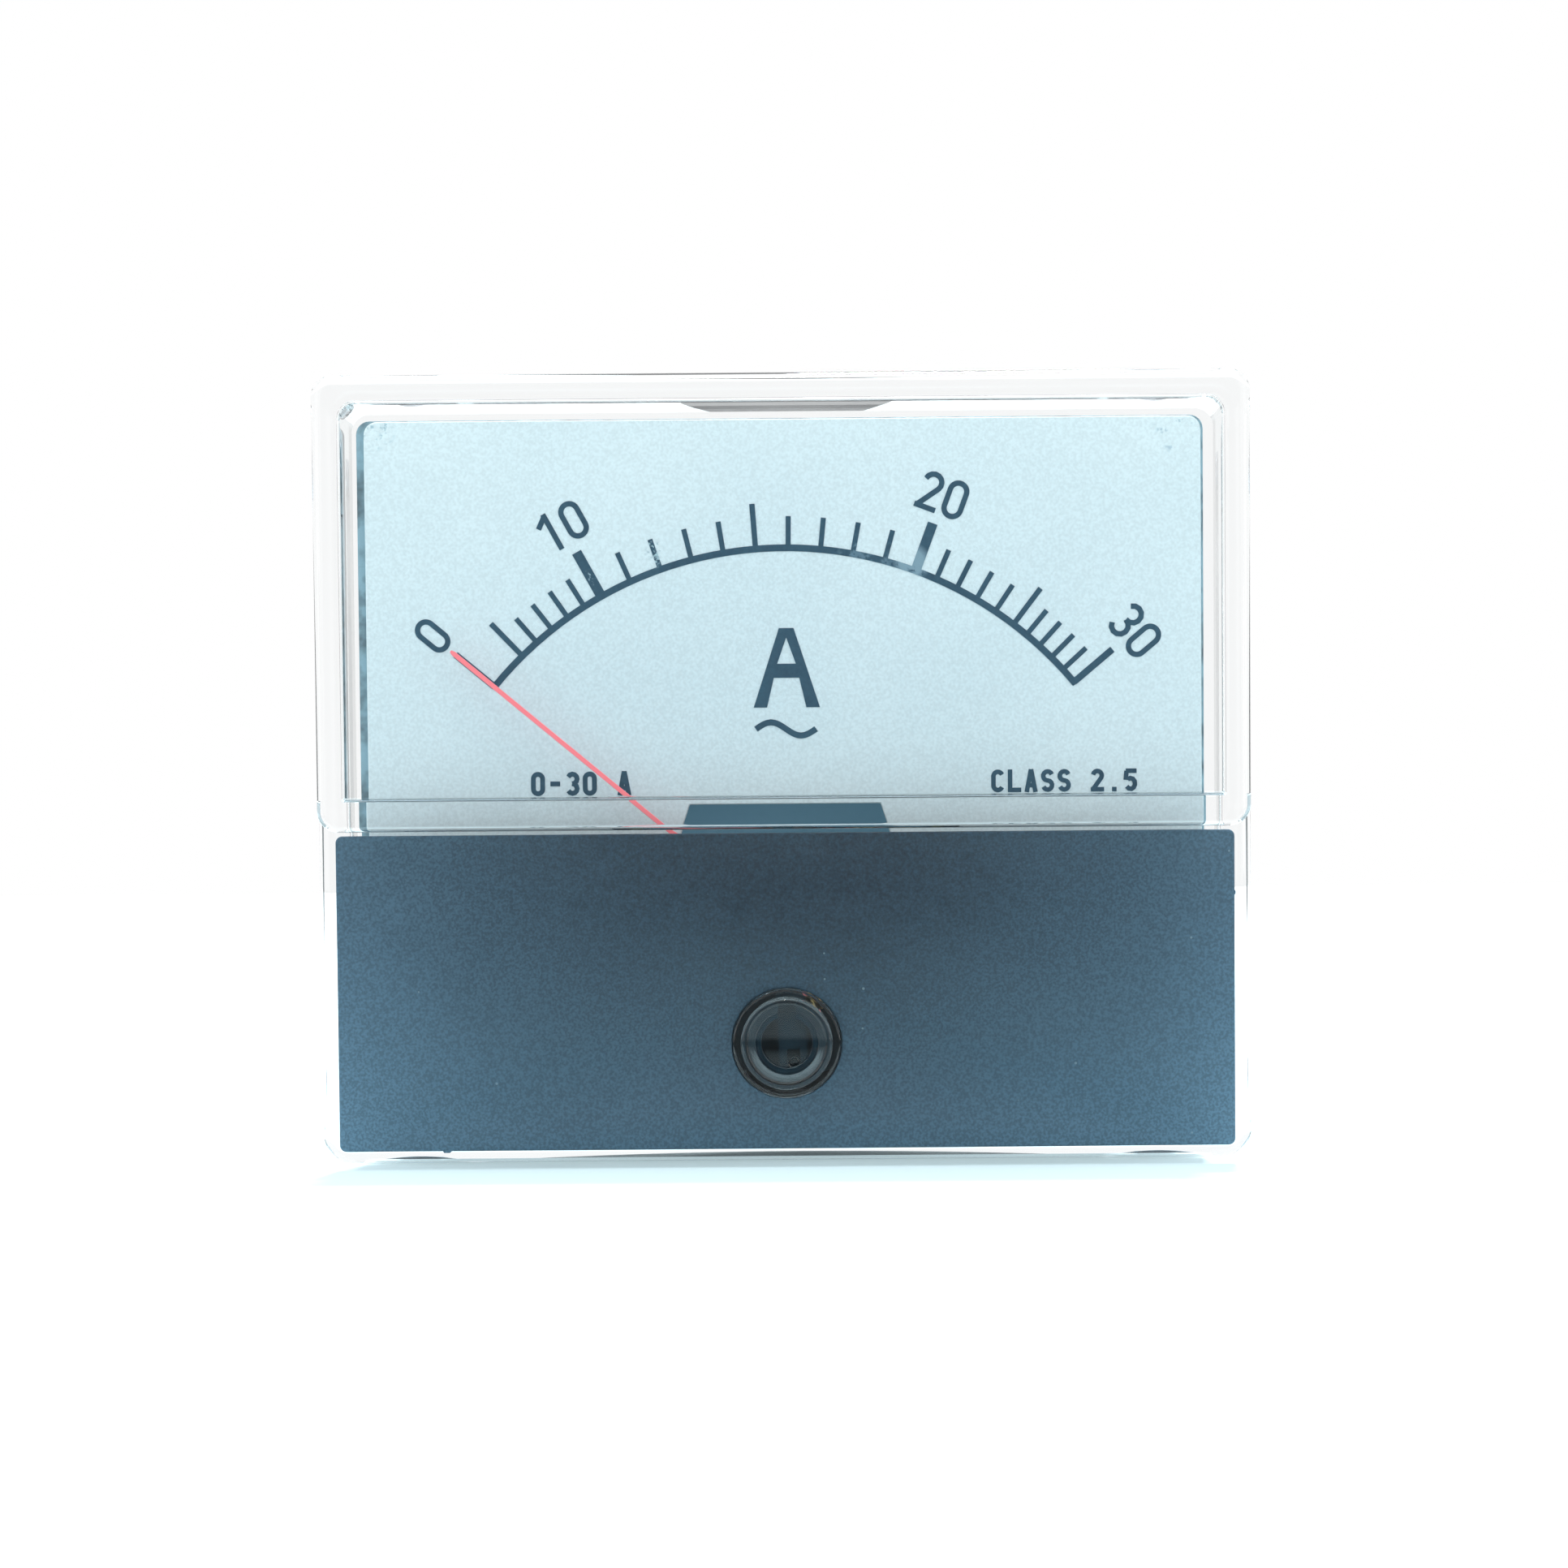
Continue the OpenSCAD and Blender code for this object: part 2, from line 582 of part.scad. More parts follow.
// ---- bridge, stops and jewels ----
module front_bridge() color([0.8, 0.66, 0.36]) at_pivot() difference() {
    union() {
        plate(strap_front, strap_rear, -leg_x - strap_t, leg_x + strap_t, -strap_half, strap_half, 0.3);
        for (s = [-1, 1]) {
            plate(strap_front, frame_y, s * (leg_x + strap_t / 2) - strap_t / 2,
                s * (leg_x + strap_t / 2) + strap_t / 2, -strap_half, strap_half, 0.3);
            plate(frame_y - foot_t, frame_y, s * (leg_x + foot_x) / 2 - (foot_x - leg_x) / 2,
                s * (leg_x + foot_x) / 2 + (foot_x - leg_x) / 2, -strap_half, strap_half, 0.3);
        }
        rod(strap_front - bush_len, strap_rear, bush_r);
    }
    rod(strap_front - bush_len - over, strap_rear + over, screw_r + thread_gap);
    pair(foot_screw_x, 0) rod(frame_y - foot_t - over, frame_y + over, foot_screw_r + seat_gap);
    for (s = [-1, 1]) rotate([0, s * stop_angle, 0]) at(0, stop_at)
        rod(strap_front - over, strap_rear + over, stop_r);
}

module bridge_screws() color([0.75, 0.76, 0.78]) at_pivot() pair(foot_screw_x, 0)
    pan_screw(frame_y - foot_t, foot_screw_r, foot_head_r, foot_t, foot_t + frame_t);

module stop_pins() color([0.3, 0.3, 0.32]) at_pivot() for (s = [-1, 1])
    rotate([0, s * stop_angle, 0]) at(0, stop_at) rod(strap_front, arm_y + 2 * arm_t, stop_r);

module jewel_screw(tail, mouth, dir) difference() {
    rod(min(tail, mouth), max(tail, mouth), screw_r);
    if (dir > 0) cone(mouth - cup_depth, mouth + sliver, tip_r, cup_r);
    if (dir < 0) cone(mouth - sliver, mouth + cup_depth, cup_r, tip_r);
    translate([-screw_r - over, tail - (dir > 0 ? over : slot_deep), -screw_slot / 2])
        cube([2 * screw_r + 2 * over, over + slot_deep, screw_slot]);
}

module front_jewel_screw() color([0.82, 0.68, 0.4]) at_pivot()
    jewel_screw(strap_front - bush_len - locknut_t - 0.4, jewel_rear, 1);

module jewel_locknut() color([0.82, 0.68, 0.4]) at_pivot() difference() {
    hex(strap_front - bush_len - locknut_t, strap_front - bush_len, locknut_af);
    rod(strap_front - bush_len - over, strap_front, screw_r + thread_gap);
}

module rear_jewel_screw() color([0.82, 0.68, 0.4]) at_pivot()
    jewel_screw(bobbin_end + bobbin_boss + 1, jewel_front, -1);

module movement_frame() color([0.14, 0.14, 0.15]) difference() {
    union() {
        plate(frame_y, bobbin_y, -post_x - ear, post_x + ear, post_z - ear, post_z + ear, 1);
        plate(frame_y, bobbin_y, -foot_x - 0.4, foot_x + 0.4, pivot_z - strap_half - 0.8, post_z, 1);
        at_pivot() rod(frame_y, bobbin_y, flange_r);
    }
    at_pivot() rod(frame_y - over, bobbin_y + over, box_hole);
    pair(post_x, post_z) rod(frame_y - over, bobbin_y + over, post_screw_r + seat_gap);
    at_pivot() pair(foot_screw_x, 0) rod(frame_y - over, bobbin_y + over, foot_screw_r + thread_gap);
    at_pivot() pair(rivet_at, 0) rod(frame_y - over, bobbin_y + over, rivet_r + thread_gap);
}

module frame_screws() color([0.75, 0.76, 0.78]) pair(post_x, post_z)
    pan_screw(frame_y, post_screw_r, post_head_r, post_screw_r, frame_t + post_hole - over);

// ---- damping ----
module damping_box() color([0.1, 0.1, 0.11]) at_pivot() {
    slab(frame_y - box_floor, frame_y) sector2d(box_hole, damper_r, 180, box_half + 2);
    slab(box_y, frame_y - box_floor / 2) sector2d(damper_r - box_wall, damper_r, 180, box_half + 2);
    for (s = [-1, 1]) rotate([0, 180 + s * box_half, 0])
        translate([s > 0 ? 0 : -box_wall, box_y, box_hole])
            cube([box_wall, box_depth, damper_r - box_hole]);
}

module damping_lid() color([0.1, 0.1, 0.11]) at_pivot() slab(lid_y, box_y)
    sector2d(box_hole, damper_r, 180, box_half);

module damping_vane() color([0.82, 0.84, 0.86]) at_pivot(180 - half_swing) {
    slab(box_y + vane_play, frame_y - box_floor - vane_play) ring2d(spindle_r, iron_hub_r + 0.2);
    translate([-vane_t / 2, box_y + vane_play, iron_hub_r])
        cube([vane_t, box_depth - box_floor - 2 * vane_play, damper_r - box_wall - iron_hub_r - vane_play]);
}

// ---- coil ----
module coil_bobbin() color([0.9, 0.88, 0.8]) at_pivot() difference() {
    union() {
        rod(bobbin_y, coil_y, flange_r);
        rod(bobbin_y, bobbin_end, core_r);
        rod(coil_end, bobbin_end, flange_r);
        rod(coil_end, bobbin_end + bobbin_boss, bobbin_boss);
        pair(rivet_at, 0) rod(frame_y, bobbin_y + flange_t / 2, rivet_r);
    }
    rod(bobbin_y - over, coil_end, core_in);
    rod(coil_end - over, bobbin_end + bobbin_boss + over, screw_r + thread_gap);
}

// Two layers of thick enamelled wire, the turns shown in the outer outline
function turn_point(n, a) = let(r = wire_d / 2)
    [layer_r - r + r * cos(a), (2 * n + 1) * r + 0.999 * r * sin(a)];
module coil_winding() color([0.72, 0.38, 0.16]) at_pivot() translate([0, coil_end, 0])
    rotate([90, 0, 0]) rotate_extrude() polygon(concat([[core_r, 0]],
        [for (n = [0:turns - 1], a = [-90:30:90]) turn_point(n, a)],
        [[core_r, turns * wire_d]]));

// A wire swept along a list of points that bends in one plane
function smooth(a, b, c, n = 6) = [for (i = [0:n]) let(t = i / n, u = 1 - t)
    u * u * a + 2 * t * u * b + t * t * c];
function wire_ring(p, i, r, n) = let(t = unit(p[min(i + 1, len(p) - 1)] - p[max(i - 1, 0)]),
    u = unit(cross(t, [0, 0, 1])), v = cross(u, t))
    [for (k = [0:n - 1]) p[i] + r * (cos(360 * k / n) * u + sin(360 * k / n) * v)];
function wire_quad(i, k, n) = let(l = (k + 1) % n) [i * n + k, (i + 1) * n + k, (i + 1) * n + l, i * n + l];
module wire(p, r, n = 12) let(m = len(p)) polyhedron([for (i = [0:m - 1]) each wire_ring(p, i, r, n)],
    concat([[for (k = [0:n - 1]) k]], [[for (k = [n - 1:-1:0]) (m - 1) * n + k]],
        [for (i = [0:m - 2], k = [0:n - 1]) wire_quad(i, k, n)]));

module coil_leads() color([0.72, 0.38, 0.16]) for (s = [-1, 1])
    wire(smooth([s * 4, coil_y + wire_d, lead_z], [s * terminal_x, coil_y + wire_d, lead_z + 2.8],
        [s * terminal_x, barrel_end - terminal_head_t - wire_d * 0.19, terminal_z - 1]), wire_d / 2);

module fixed_iron() color([0.5, 0.51, 0.53]) at_pivot() slab(iron_y, iron_y + iron_len)
    sector2d(core_in - iron_t, core_in - run_gap, -95, 55);

module moving_iron() color([0.45, 0.46, 0.48]) at_pivot(-half_swing) {
    slab(iron_y, iron_y + vane_len) sector2d(vane_r - iron_web, vane_r, 0, 28);
    slab(iron_y, iron_y + vane_len) ring2d(spindle_r, iron_hub_r);
    translate([-iron_web / 2, iron_y, iron_hub_r - 0.1])
        cube([iron_web, vane_len, vane_r - iron_hub_r - 0.2]);
}

// ---- moving system ----
module spindle() color([0.8, 0.82, 0.84]) at_pivot() {
    cone(spindle_front, spindle_front + tip_len, tip_r, spindle_r);
    rod(spindle_front + tip_len, spindle_rear - tip_len, spindle_r);
    cone(spindle_rear - tip_len, spindle_rear, spindle_r, tip_r);
}

module pointer() color([0.9, 0.22, 0.25]) at_pivot(-half_swing) {
    slab(arm_y, arm_y + arm_t) difference() {
        union() {
            circle(pointer_hub);
            translate([-arm_half, 0]) square([2 * arm_half, pointer_bend]);
            for (s = [-1, 1]) rotate(s * tail_angle)
                translate([-tail_w / 2, 0]) square([tail_w, tail_len]);
        }
        circle(bush_outer);
    }
    translate([-arm_half, 0, 0]) rotate([0, 90, 0]) rotate([0, 0, 90]) linear_extrude(2 * arm_half)
        polygon([[arm_y, pointer_bend - 0.2], [arm_y + arm_t, pointer_bend],
            [pointer_y + arm_t, pointer_rise + 0.2], [pointer_y, pointer_rise]]);
    slab(pointer_y, pointer_y + arm_t) polygon([
        [-arm_half, pointer_rise - 0.1], [arm_half, pointer_rise - 0.1],
        [arm_half, pointer_rise + pointer_foot], [arm_half / 3, pointer_rise + pointer_taper],
        [tip_w / 2, pointer_len - tip_taper], [tip_w / 4, pointer_len],
        [-tip_w / 4, pointer_len], [-tip_w / 2, pointer_len - tip_taper],
        [-arm_half / 3, pointer_rise + pointer_taper], [-arm_half, pointer_rise + pointer_foot]]);
}

module pointer_bush() color([0.82, 0.68, 0.4]) at_pivot() slab(arm_y - 0.3, arm_y + arm_t + 0.4)
    ring2d(spindle_r, bush_outer);

module balance_weights() color([0.82, 0.68, 0.4]) at_pivot(-half_swing) for (s = [-1, 1])
    rotate([0, s * tail_angle, 0]) translate([0, arm_y + arm_t / 2, weight_at]) difference() {
        cylinder(h = weight_len, r = weight_r);
        translate([-tail_w / 2, -arm_t / 2, -over]) cube([tail_w, arm_t, weight_len + 2 * over]);
    }

// ---- mounting and terminal hardware ----
module mounting_studs() color([0.78, 0.79, 0.8]) corners(stud_dx / 2, stud_dz / 2) {
    rod(-base_t, -base_t + stud_head_t, stud_head_r);
    rod(-base_t + stud_head_t / 2, stud_len, stud_r);
}

module mounting_washers() color([0.8, 0.81, 0.82]) corners(stud_dx / 2, stud_dz / 2)
    slab(panel_t, panel_t + washer_t) ring2d(stud_r + seat_gap, washer_r);

module mounting_nuts() color([0.78, 0.79, 0.8]) corners(stud_dx / 2, stud_dz / 2) difference() {
    hex(panel_t + washer_t, panel_t + washer_t + nut_t, nut_af);
    rod(panel_t, panel_t + washer_t + nut_t + over, stud_r + thread_gap);
}

module terminal_studs() color([0.85, 0.7, 0.38]) pair(terminal_x, terminal_z) {
    hex(barrel_end - terminal_head_t, barrel_end, terminal_af);
    rod(barrel_end - terminal_head_t / 2, barrel_len + terminal_len, terminal_r);
}

module terminal_washers() color([0.85, 0.72, 0.42]) pair(terminal_x, terminal_z)
    for (y = [barrel_len, outer_washer]) slab(y, y + terminal_washer_t)
        ring2d(terminal_r + seat_gap, terminal_washer_r);

module terminal_spring_washers() color([0.7, 0.71, 0.73]) pair(terminal_x, terminal_z)
    slab(spring_washer, spring_washer + terminal_spring_t) difference() {
        ring2d(terminal_r + seat_gap, terminal_spring_r);
        translate([-0.4, 0]) square([0.8, terminal_spring_r + over]);
    }

module terminal_nuts() color([0.85, 0.7, 0.38]) pair(terminal_x, terminal_z)
    for (y = [barrel_len + terminal_washer_t, spring_washer + terminal_spring_t]) difference() {
        hex(y, y + terminal_nut_t, terminal_af);
        rod(y - over, y + terminal_nut_t + over, terminal_r + thread_gap);
    }

front_cover();
mask_plate();
rear_case();
cover_screws();
dial_plate();
scale_print();
dial_screws();
zero_adjuster();
adjuster_clip();
zero_lever();
hairspring();
spring_collet();
front_bridge();
bridge_screws();
stop_pins();
front_jewel_screw();
jewel_locknut();
rear_jewel_screw();
movement_frame();
frame_screws();
damping_box();
damping_lid();
coil_bobbin();
coil_winding();
coil_leads();
fixed_iron();
spindle();
pointer();
pointer_bush();
balance_weights();
moving_iron();
damping_vane();
mounting_studs();
mounting_washers();
mounting_nuts();
terminal_studs();
terminal_washers();
terminal_spring_washers();
terminal_nuts();
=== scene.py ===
import json
import math
import bmesh
import bpy
from mathutils import Matrix, Vector


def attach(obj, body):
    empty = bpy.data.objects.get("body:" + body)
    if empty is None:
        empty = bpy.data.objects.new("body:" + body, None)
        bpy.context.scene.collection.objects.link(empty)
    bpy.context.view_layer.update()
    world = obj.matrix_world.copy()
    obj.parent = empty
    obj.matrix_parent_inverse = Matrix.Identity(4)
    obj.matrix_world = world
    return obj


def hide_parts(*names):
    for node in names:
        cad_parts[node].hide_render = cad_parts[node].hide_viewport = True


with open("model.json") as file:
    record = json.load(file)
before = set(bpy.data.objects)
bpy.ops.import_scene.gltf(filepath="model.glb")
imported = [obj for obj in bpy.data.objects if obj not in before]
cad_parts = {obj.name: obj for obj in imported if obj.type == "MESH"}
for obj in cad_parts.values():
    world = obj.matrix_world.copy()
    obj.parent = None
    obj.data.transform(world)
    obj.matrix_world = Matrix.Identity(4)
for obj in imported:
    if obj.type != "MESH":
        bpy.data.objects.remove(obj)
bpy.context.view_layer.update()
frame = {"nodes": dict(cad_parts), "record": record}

mm = 0.001
scene = bpy.context.scene
record = frame["record"]
bodyOfNode = {n: b for b, members in record["behaviour"]["bodies"].items() for n in members}
print("frame loaded:", len(frame["nodes"]), "nodes")


# node helpers for materials and meshes
def newGroup(name, inputs, outputs):
    tree = bpy.data.node_groups.new(name, "ShaderNodeTree")
    for label, kind, value in inputs:
        socket = tree.interface.new_socket(name=label, in_out="INPUT", socket_type=kind)
        if value is not None:
            socket.default_value = value
    for label, kind in outputs:
        tree.interface.new_socket(name=label, in_out="OUTPUT", socket_type=kind)
    return tree, tree.nodes.new("NodeGroupInput"), tree.nodes.new("NodeGroupOutput")


def mathNode(tree, operation, a, b=None, clamp=False):
    node = tree.nodes.new("ShaderNodeMath")
    node.operation = operation
    node.use_clamp = clamp
    for socket, value in zip(node.inputs, (a, b)):
        if value is None:
            continue
        if isinstance(value, (int, float)):
            socket.default_value = value
        else:
            tree.links.new(value, socket)
    return node.outputs[0]


def product(tree, first, *others):
    for other in others:
        first = mathNode(tree, "MULTIPLY", first, other)
    return first


def rampNode(tree, fac, start, end, least=0.0):  # grey from least to white
    ramp = tree.nodes.new("ShaderNodeValToRGB")
    for element, (place, level) in zip(ramp.color_ramp.elements, ((start, least), (end, 1.0))):
        element.position = place
        element.color = (level, level, level, 1)
    tree.links.new(fac, ramp.inputs["Fac"])
    return ramp.outputs["Color"]


def rangeNode(tree, value, low, high, toLow=0.0, toHigh=1.0):
    node = tree.nodes.new("ShaderNodeMapRange")
    for label, number in (("From Min", low), ("From Max", high), ("To Min", toLow), ("To Max", toHigh)):
        node.inputs[label].default_value = number
    tree.links.new(value, node.inputs["Value"])
    return node.outputs["Result"]


def axesOf(tree, vector):
    split = tree.nodes.new("ShaderNodeSeparateXYZ")
    tree.links.new(vector, split.inputs[0])
    return split.outputs


def noiseNode(tree, vector, scale, detail=3.0, roughness=0.55, distortion=0.0):
    node = tree.nodes.new("ShaderNodeTexNoise")
    tree.links.new(vector, node.inputs["Vector"])
    if isinstance(scale, (int, float)):
        node.inputs["Scale"].default_value = scale
    else:
        tree.links.new(scale, node.inputs["Scale"])
    node.inputs["Detail"].default_value = detail
    node.inputs["Roughness"].default_value = roughness
    node.inputs["Distortion"].default_value = distortion
    return node.outputs["Fac"]


def mixColour(tree, fac, a, b, blend="MIX"):
    node = tree.nodes.new("ShaderNodeMix")
    node.data_type = "RGBA"
    node.blend_type = blend
    for socket, value in zip((node.inputs[0], node.inputs[6], node.inputs[7]), (fac, a, b)):
        if isinstance(value, (int, float)):
            socket.default_value = value
        elif isinstance(value, tuple):
            socket.default_value = (*value, 1)
        else:
            tree.links.new(value, socket)
    return node.outputs[2]


# shared effects as node groups
def makeGrainGroup():
    tree, start, end = newGroup("surfaceGrain",
        [("Vector", "NodeSocketVector", None), ("Fine Scale", "NodeSocketFloat", 2500.0),
         ("Broad Scale", "NodeSocketFloat", 60.0), ("Fineness", "NodeSocketFloat", 0.6)],
        [("Height", "NodeSocketFloat"), ("Mottle", "NodeSocketFloat")])
    given = start.outputs
    fine = noiseNode(tree, given["Vector"], given["Fine Scale"], 4.0, 0.6)
    broad = noiseNode(tree, given["Vector"], given["Broad Scale"], 3.0, 0.5, 0.4)
    part = product(tree, fine, given["Fineness"])
    rest = product(tree, broad, mathNode(tree, "SUBTRACT", 1.0, given["Fineness"]))
    tree.links.new(mathNode(tree, "ADD", part, rest), end.inputs["Height"])
    tree.links.new(broad, end.inputs["Mottle"])
    return tree


def makeDustGroup():
    tree, start, end = newGroup("dustSpecks",
        [("Vector", "NodeSocketVector", None), ("Spacing Scale", "NodeSocketFloat", 400.0),
         ("Speck Size", "NodeSocketFloat", 0.08), ("Sparse", "NodeSocketFloat", 0.6)],
        [("Mask", "NodeSocketFloat")])
    cells = tree.nodes.new("ShaderNodeTexVoronoi")
    cells.inputs["Randomness"].default_value = 1.0
    tree.links.new(start.outputs["Vector"], cells.inputs["Vector"])
    tree.links.new(start.outputs["Spacing Scale"], cells.inputs["Scale"])
    near = mathNode(tree, "LESS_THAN", cells.outputs["Distance"], start.outputs["Speck Size"])
    chance = tree.nodes.new("ShaderNodeSeparateColor")
    tree.links.new(cells.outputs["Color"], chance.inputs[0])
    kept = mathNode(tree, "GREATER_THAN", chance.outputs[0], start.outputs["Sparse"])
    tree.links.new(product(tree, near, kept), end.inputs["Mask"])
    return tree


def makeScratchGroup():
    tree, start, end = newGroup("fineScratches",
        [("Vector", "NodeSocketVector", None), ("Scale", "NodeSocketFloat", 90.0),
         ("Amount", "NodeSocketFloat", 0.5)],
        [("Mask", "NodeSocketFloat")])
    masks = []
    for turn, stretch in ((0.4, (1, 30, 1)), (2.0, (26, 1, 1)), (1.1, (1, 1, 34))):
        place = tree.nodes.new("ShaderNodeMapping")
        place.inputs["Rotation"].default_value = (turn * 0.7, turn, turn * 0.4)
        place.inputs["Scale"].default_value = stretch
        tree.links.new(start.outputs["Vector"], place.inputs["Vector"])
        streak = noiseNode(tree, place.outputs["Vector"], start.outputs["Scale"], 2.0, 0.5)
        masks.append(rampNode(tree, streak, 0.68, 0.71))
    both = mathNode(tree, "MAXIMUM", masks[0], masks[1])
    three = mathNode(tree, "MAXIMUM", both, masks[2])
    tree.links.new(product(tree, three, start.outputs["Amount"]), end.inputs["Mask"])
    return tree


grainGroup = makeGrainGroup()
dustGroup = makeDustGroup()
scratchGroup = makeScratchGroup()


def groupNode(tree, group, vector, **values):
    node = tree.nodes.new("ShaderNodeGroup")
    node.node_tree = group
    tree.links.new(vector, node.inputs["Vector"])
    for label, value in values.items():
        node.inputs[label.replace("_", " ")].default_value = value
    return node.outputs


def newMaterial(name):
    mat = bpy.data.materials.new(name)
    mat.use_nodes = True
    tree = mat.node_tree
    shader = tree.nodes["Principled BSDF"]
    coords = tree.nodes.new("ShaderNodeTexCoord").outputs["Object"]
    return mat, tree, shader, coords


def addBump(tree, shader, height, depth):
    bump = tree.nodes.new("ShaderNodeBump")
    bump.inputs["Strength"].default_value = 1.0
    bump.inputs["Distance"].default_value = depth
    tree.links.new(height, bump.inputs["Height"])
    tree.links.new(bump.outputs["Normal"], shader.inputs["Normal"])


def paintedLightGradient(tree, coords, tint):  # painted light: grows towards both sides and, along Z, from "from" to "to"
    place = axesOf(tree, coords)
    across = mathNode(tree, "ABSOLUTE", mathNode(tree, "DIVIDE", place["X"], tint["halfWidth"]))
    across = product(tree, mathNode(tree, "POWER", across, 2.0), tint["sides"])
    down = rangeNode(tree, place["Z"], tint["from"], tint["to"])
    down = product(tree, mathNode(tree, "POWER", down, tint["bend"]), tint["ends"])
    cloudy = noiseNode(tree, coords, tint["clouds"], 2.0, 0.5)
    uneven = product(tree, mathNode(tree, "SUBTRACT", cloudy, 0.5), tint["uneven"])
    return mathNode(tree, "ADD", mathNode(tree, "ADD", across, down), uneven, clamp=True)


def wornSpot(tree, coords, spot):  # full inside 0.6 of the radius, broken up by noise
    far = tree.nodes.new("ShaderNodeVectorMath")
    far.operation = "DISTANCE"
    far.inputs[1].default_value = spot["place"]
    tree.links.new(coords, far.inputs[0])
    near = rangeNode(tree, far.outputs["Value"], spot["radius"], spot["radius"] * 0.6)
    rub = rampNode(tree, noiseNode(tree, coords, spot["scale"], 4.0, 0.7), spot["gap"], spot["gap"] + 0.08)
    return product(tree, near, rub)


def paintedRimLight(tree, coords, rim):  # painted light: pale streaks on the front rim of the base, beside and above the dial, for light seen through the clear walls
    place = axesOf(tree, coords)
    edge = rangeNode(tree, place["Y"], rim["from"], rim["to"])
    beside = mathNode(tree, "GREATER_THAN", mathNode(tree, "ABSOLUTE", place["X"]), rim["halfWidth"])
    above = mathNode(tree, "GREATER_THAN", place["Z"], rim["top"])
    streaks = rampNode(tree, noiseNode(tree, coords, rim["streaks"], 3.0, 0.6), 0.34, 0.56, 0.3)
    return product(tree, edge, mathNode(tree, "MAXIMUM", beside, above), streaks)


# finishes
def solidFinish(name, light, dark, rough, metallic=0.0, fine=2500.0, broad=60.0, fineness=0.6, bump=0.00002,
                ior=1.5, coat=0.0, contrast=0.5, glow=None, tint=None, speckle=None, rim=None, worn=(),
                scratch=None, dust=None):
    mat, tree, shader, coords = newMaterial(name)
    for label, value in (("Metallic", metallic), ("IOR", ior), ("Coat Weight", coat)):
        shader.inputs[label].default_value = value
    # painted light: some finishes glow a little though they are no lamp
    if glow:
        shader.inputs["Emission Color"].default_value = (*glow["colour"], 1)
        shader.inputs["Emission Strength"].default_value = glow["strength"]
    grain = groupNode(tree, grainGroup, coords, Fine_Scale=fine, Broad_Scale=broad, Fineness=fineness)
    spread = rangeNode(tree, grain["Height"], 0.5 - contrast, 0.5 + contrast)
    colour = mixColour(tree, spread, dark, light)
    # painted light: the mask and dial are made lighter towards their sides and one end
    if tint:
        colour = mixColour(tree, paintedLightGradient(tree, coords, tint), colour, tint["colour"])
    if speckle:
        dots = rampNode(tree, noiseNode(tree, coords, speckle["scale"], 1.0, 0.5), 0.36, 0.64)
        colour = mixColour(tree, dots, colour, (1 - speckle["depth"],) * 3, "MULTIPLY")
    # painted light: pale streaks on the base's front rim
    if rim:
        colour = mixColour(tree, paintedRimLight(tree, coords, rim), colour, rim["colour"])
    for spot in worn:
        colour = mixColour(tree, wornSpot(tree, coords, spot), colour, spot["colour"])
    if scratch:
        marks = groupNode(tree, scratchGroup, coords, Scale=scratch["scale"], Amount=scratch["amount"])
        colour = mixColour(tree, marks["Mask"], colour, scratch["colour"])
    if dust:
        specks = groupNode(tree, dustGroup, coords, Spacing_Scale=dust["scale"], Speck_Size=dust["size"],
                           Sparse=dust["sparse"])
        colour = mixColour(tree, product(tree, specks["Mask"], dust["strength"]), colour, dust["colour"])
    tree.links.new(colour, shader.inputs["Base Color"])
    tree.links.new(rangeNode(tree, grain["Mottle"], 0.3, 0.7, *rough), shader.inputs["Roughness"])
    addBump(tree, shader, grain["Height"], bump)
    return mat


def clearFinish(name, colour, waviness, ior, trapped, deepest=7.5):
    mat, tree, shader, coords = newMaterial(name)
    shader.inputs["Base Color"].default_value = (*colour, 1)
    for label, value in (("Roughness", 0.0), ("IOR", ior), ("Transmission Weight", 1.0)):
        shader.inputs[label].default_value = value
    grain = groupNode(tree, grainGroup, coords, Fine_Scale=900.0, Broad_Scale=55.0, Fineness=0.03)
    addBump(tree, shader, grain["Height"], waviness)
    clear = tree.nodes.new("ShaderNodeBsdfTransparent")  # lets the lamps' light through
    clear.inputs["Color"].default_value = (0.965, 0.985, 0.988, 1)
    path = tree.nodes.new("ShaderNodeLightPath").outputs
    through = mathNode(tree, "MAXIMUM", path["Is Shadow Ray"], path["Is Diffuse Ray"])
    glow = tree.nodes.new("ShaderNodeEmission")  # light that stays trapped in the plastic
    glow.inputs["Color"].default_value = (*trapped, 1)
    deep = mathNode(tree, "GREATER_THAN", path["Ray Depth"], deepest)
    result = shader.outputs[0]
    for share, other in ((through, clear), (deep, glow)):
        mix = tree.nodes.new("ShaderNodeMixShader")
        for socket, value in zip(mix.inputs, (share, result, other.outputs[0])):
            tree.links.new(value, socket)
        result = mix.outputs[0]
    tree.links.new(result, tree.nodes["Material Output"].inputs["Surface"])
    return mat
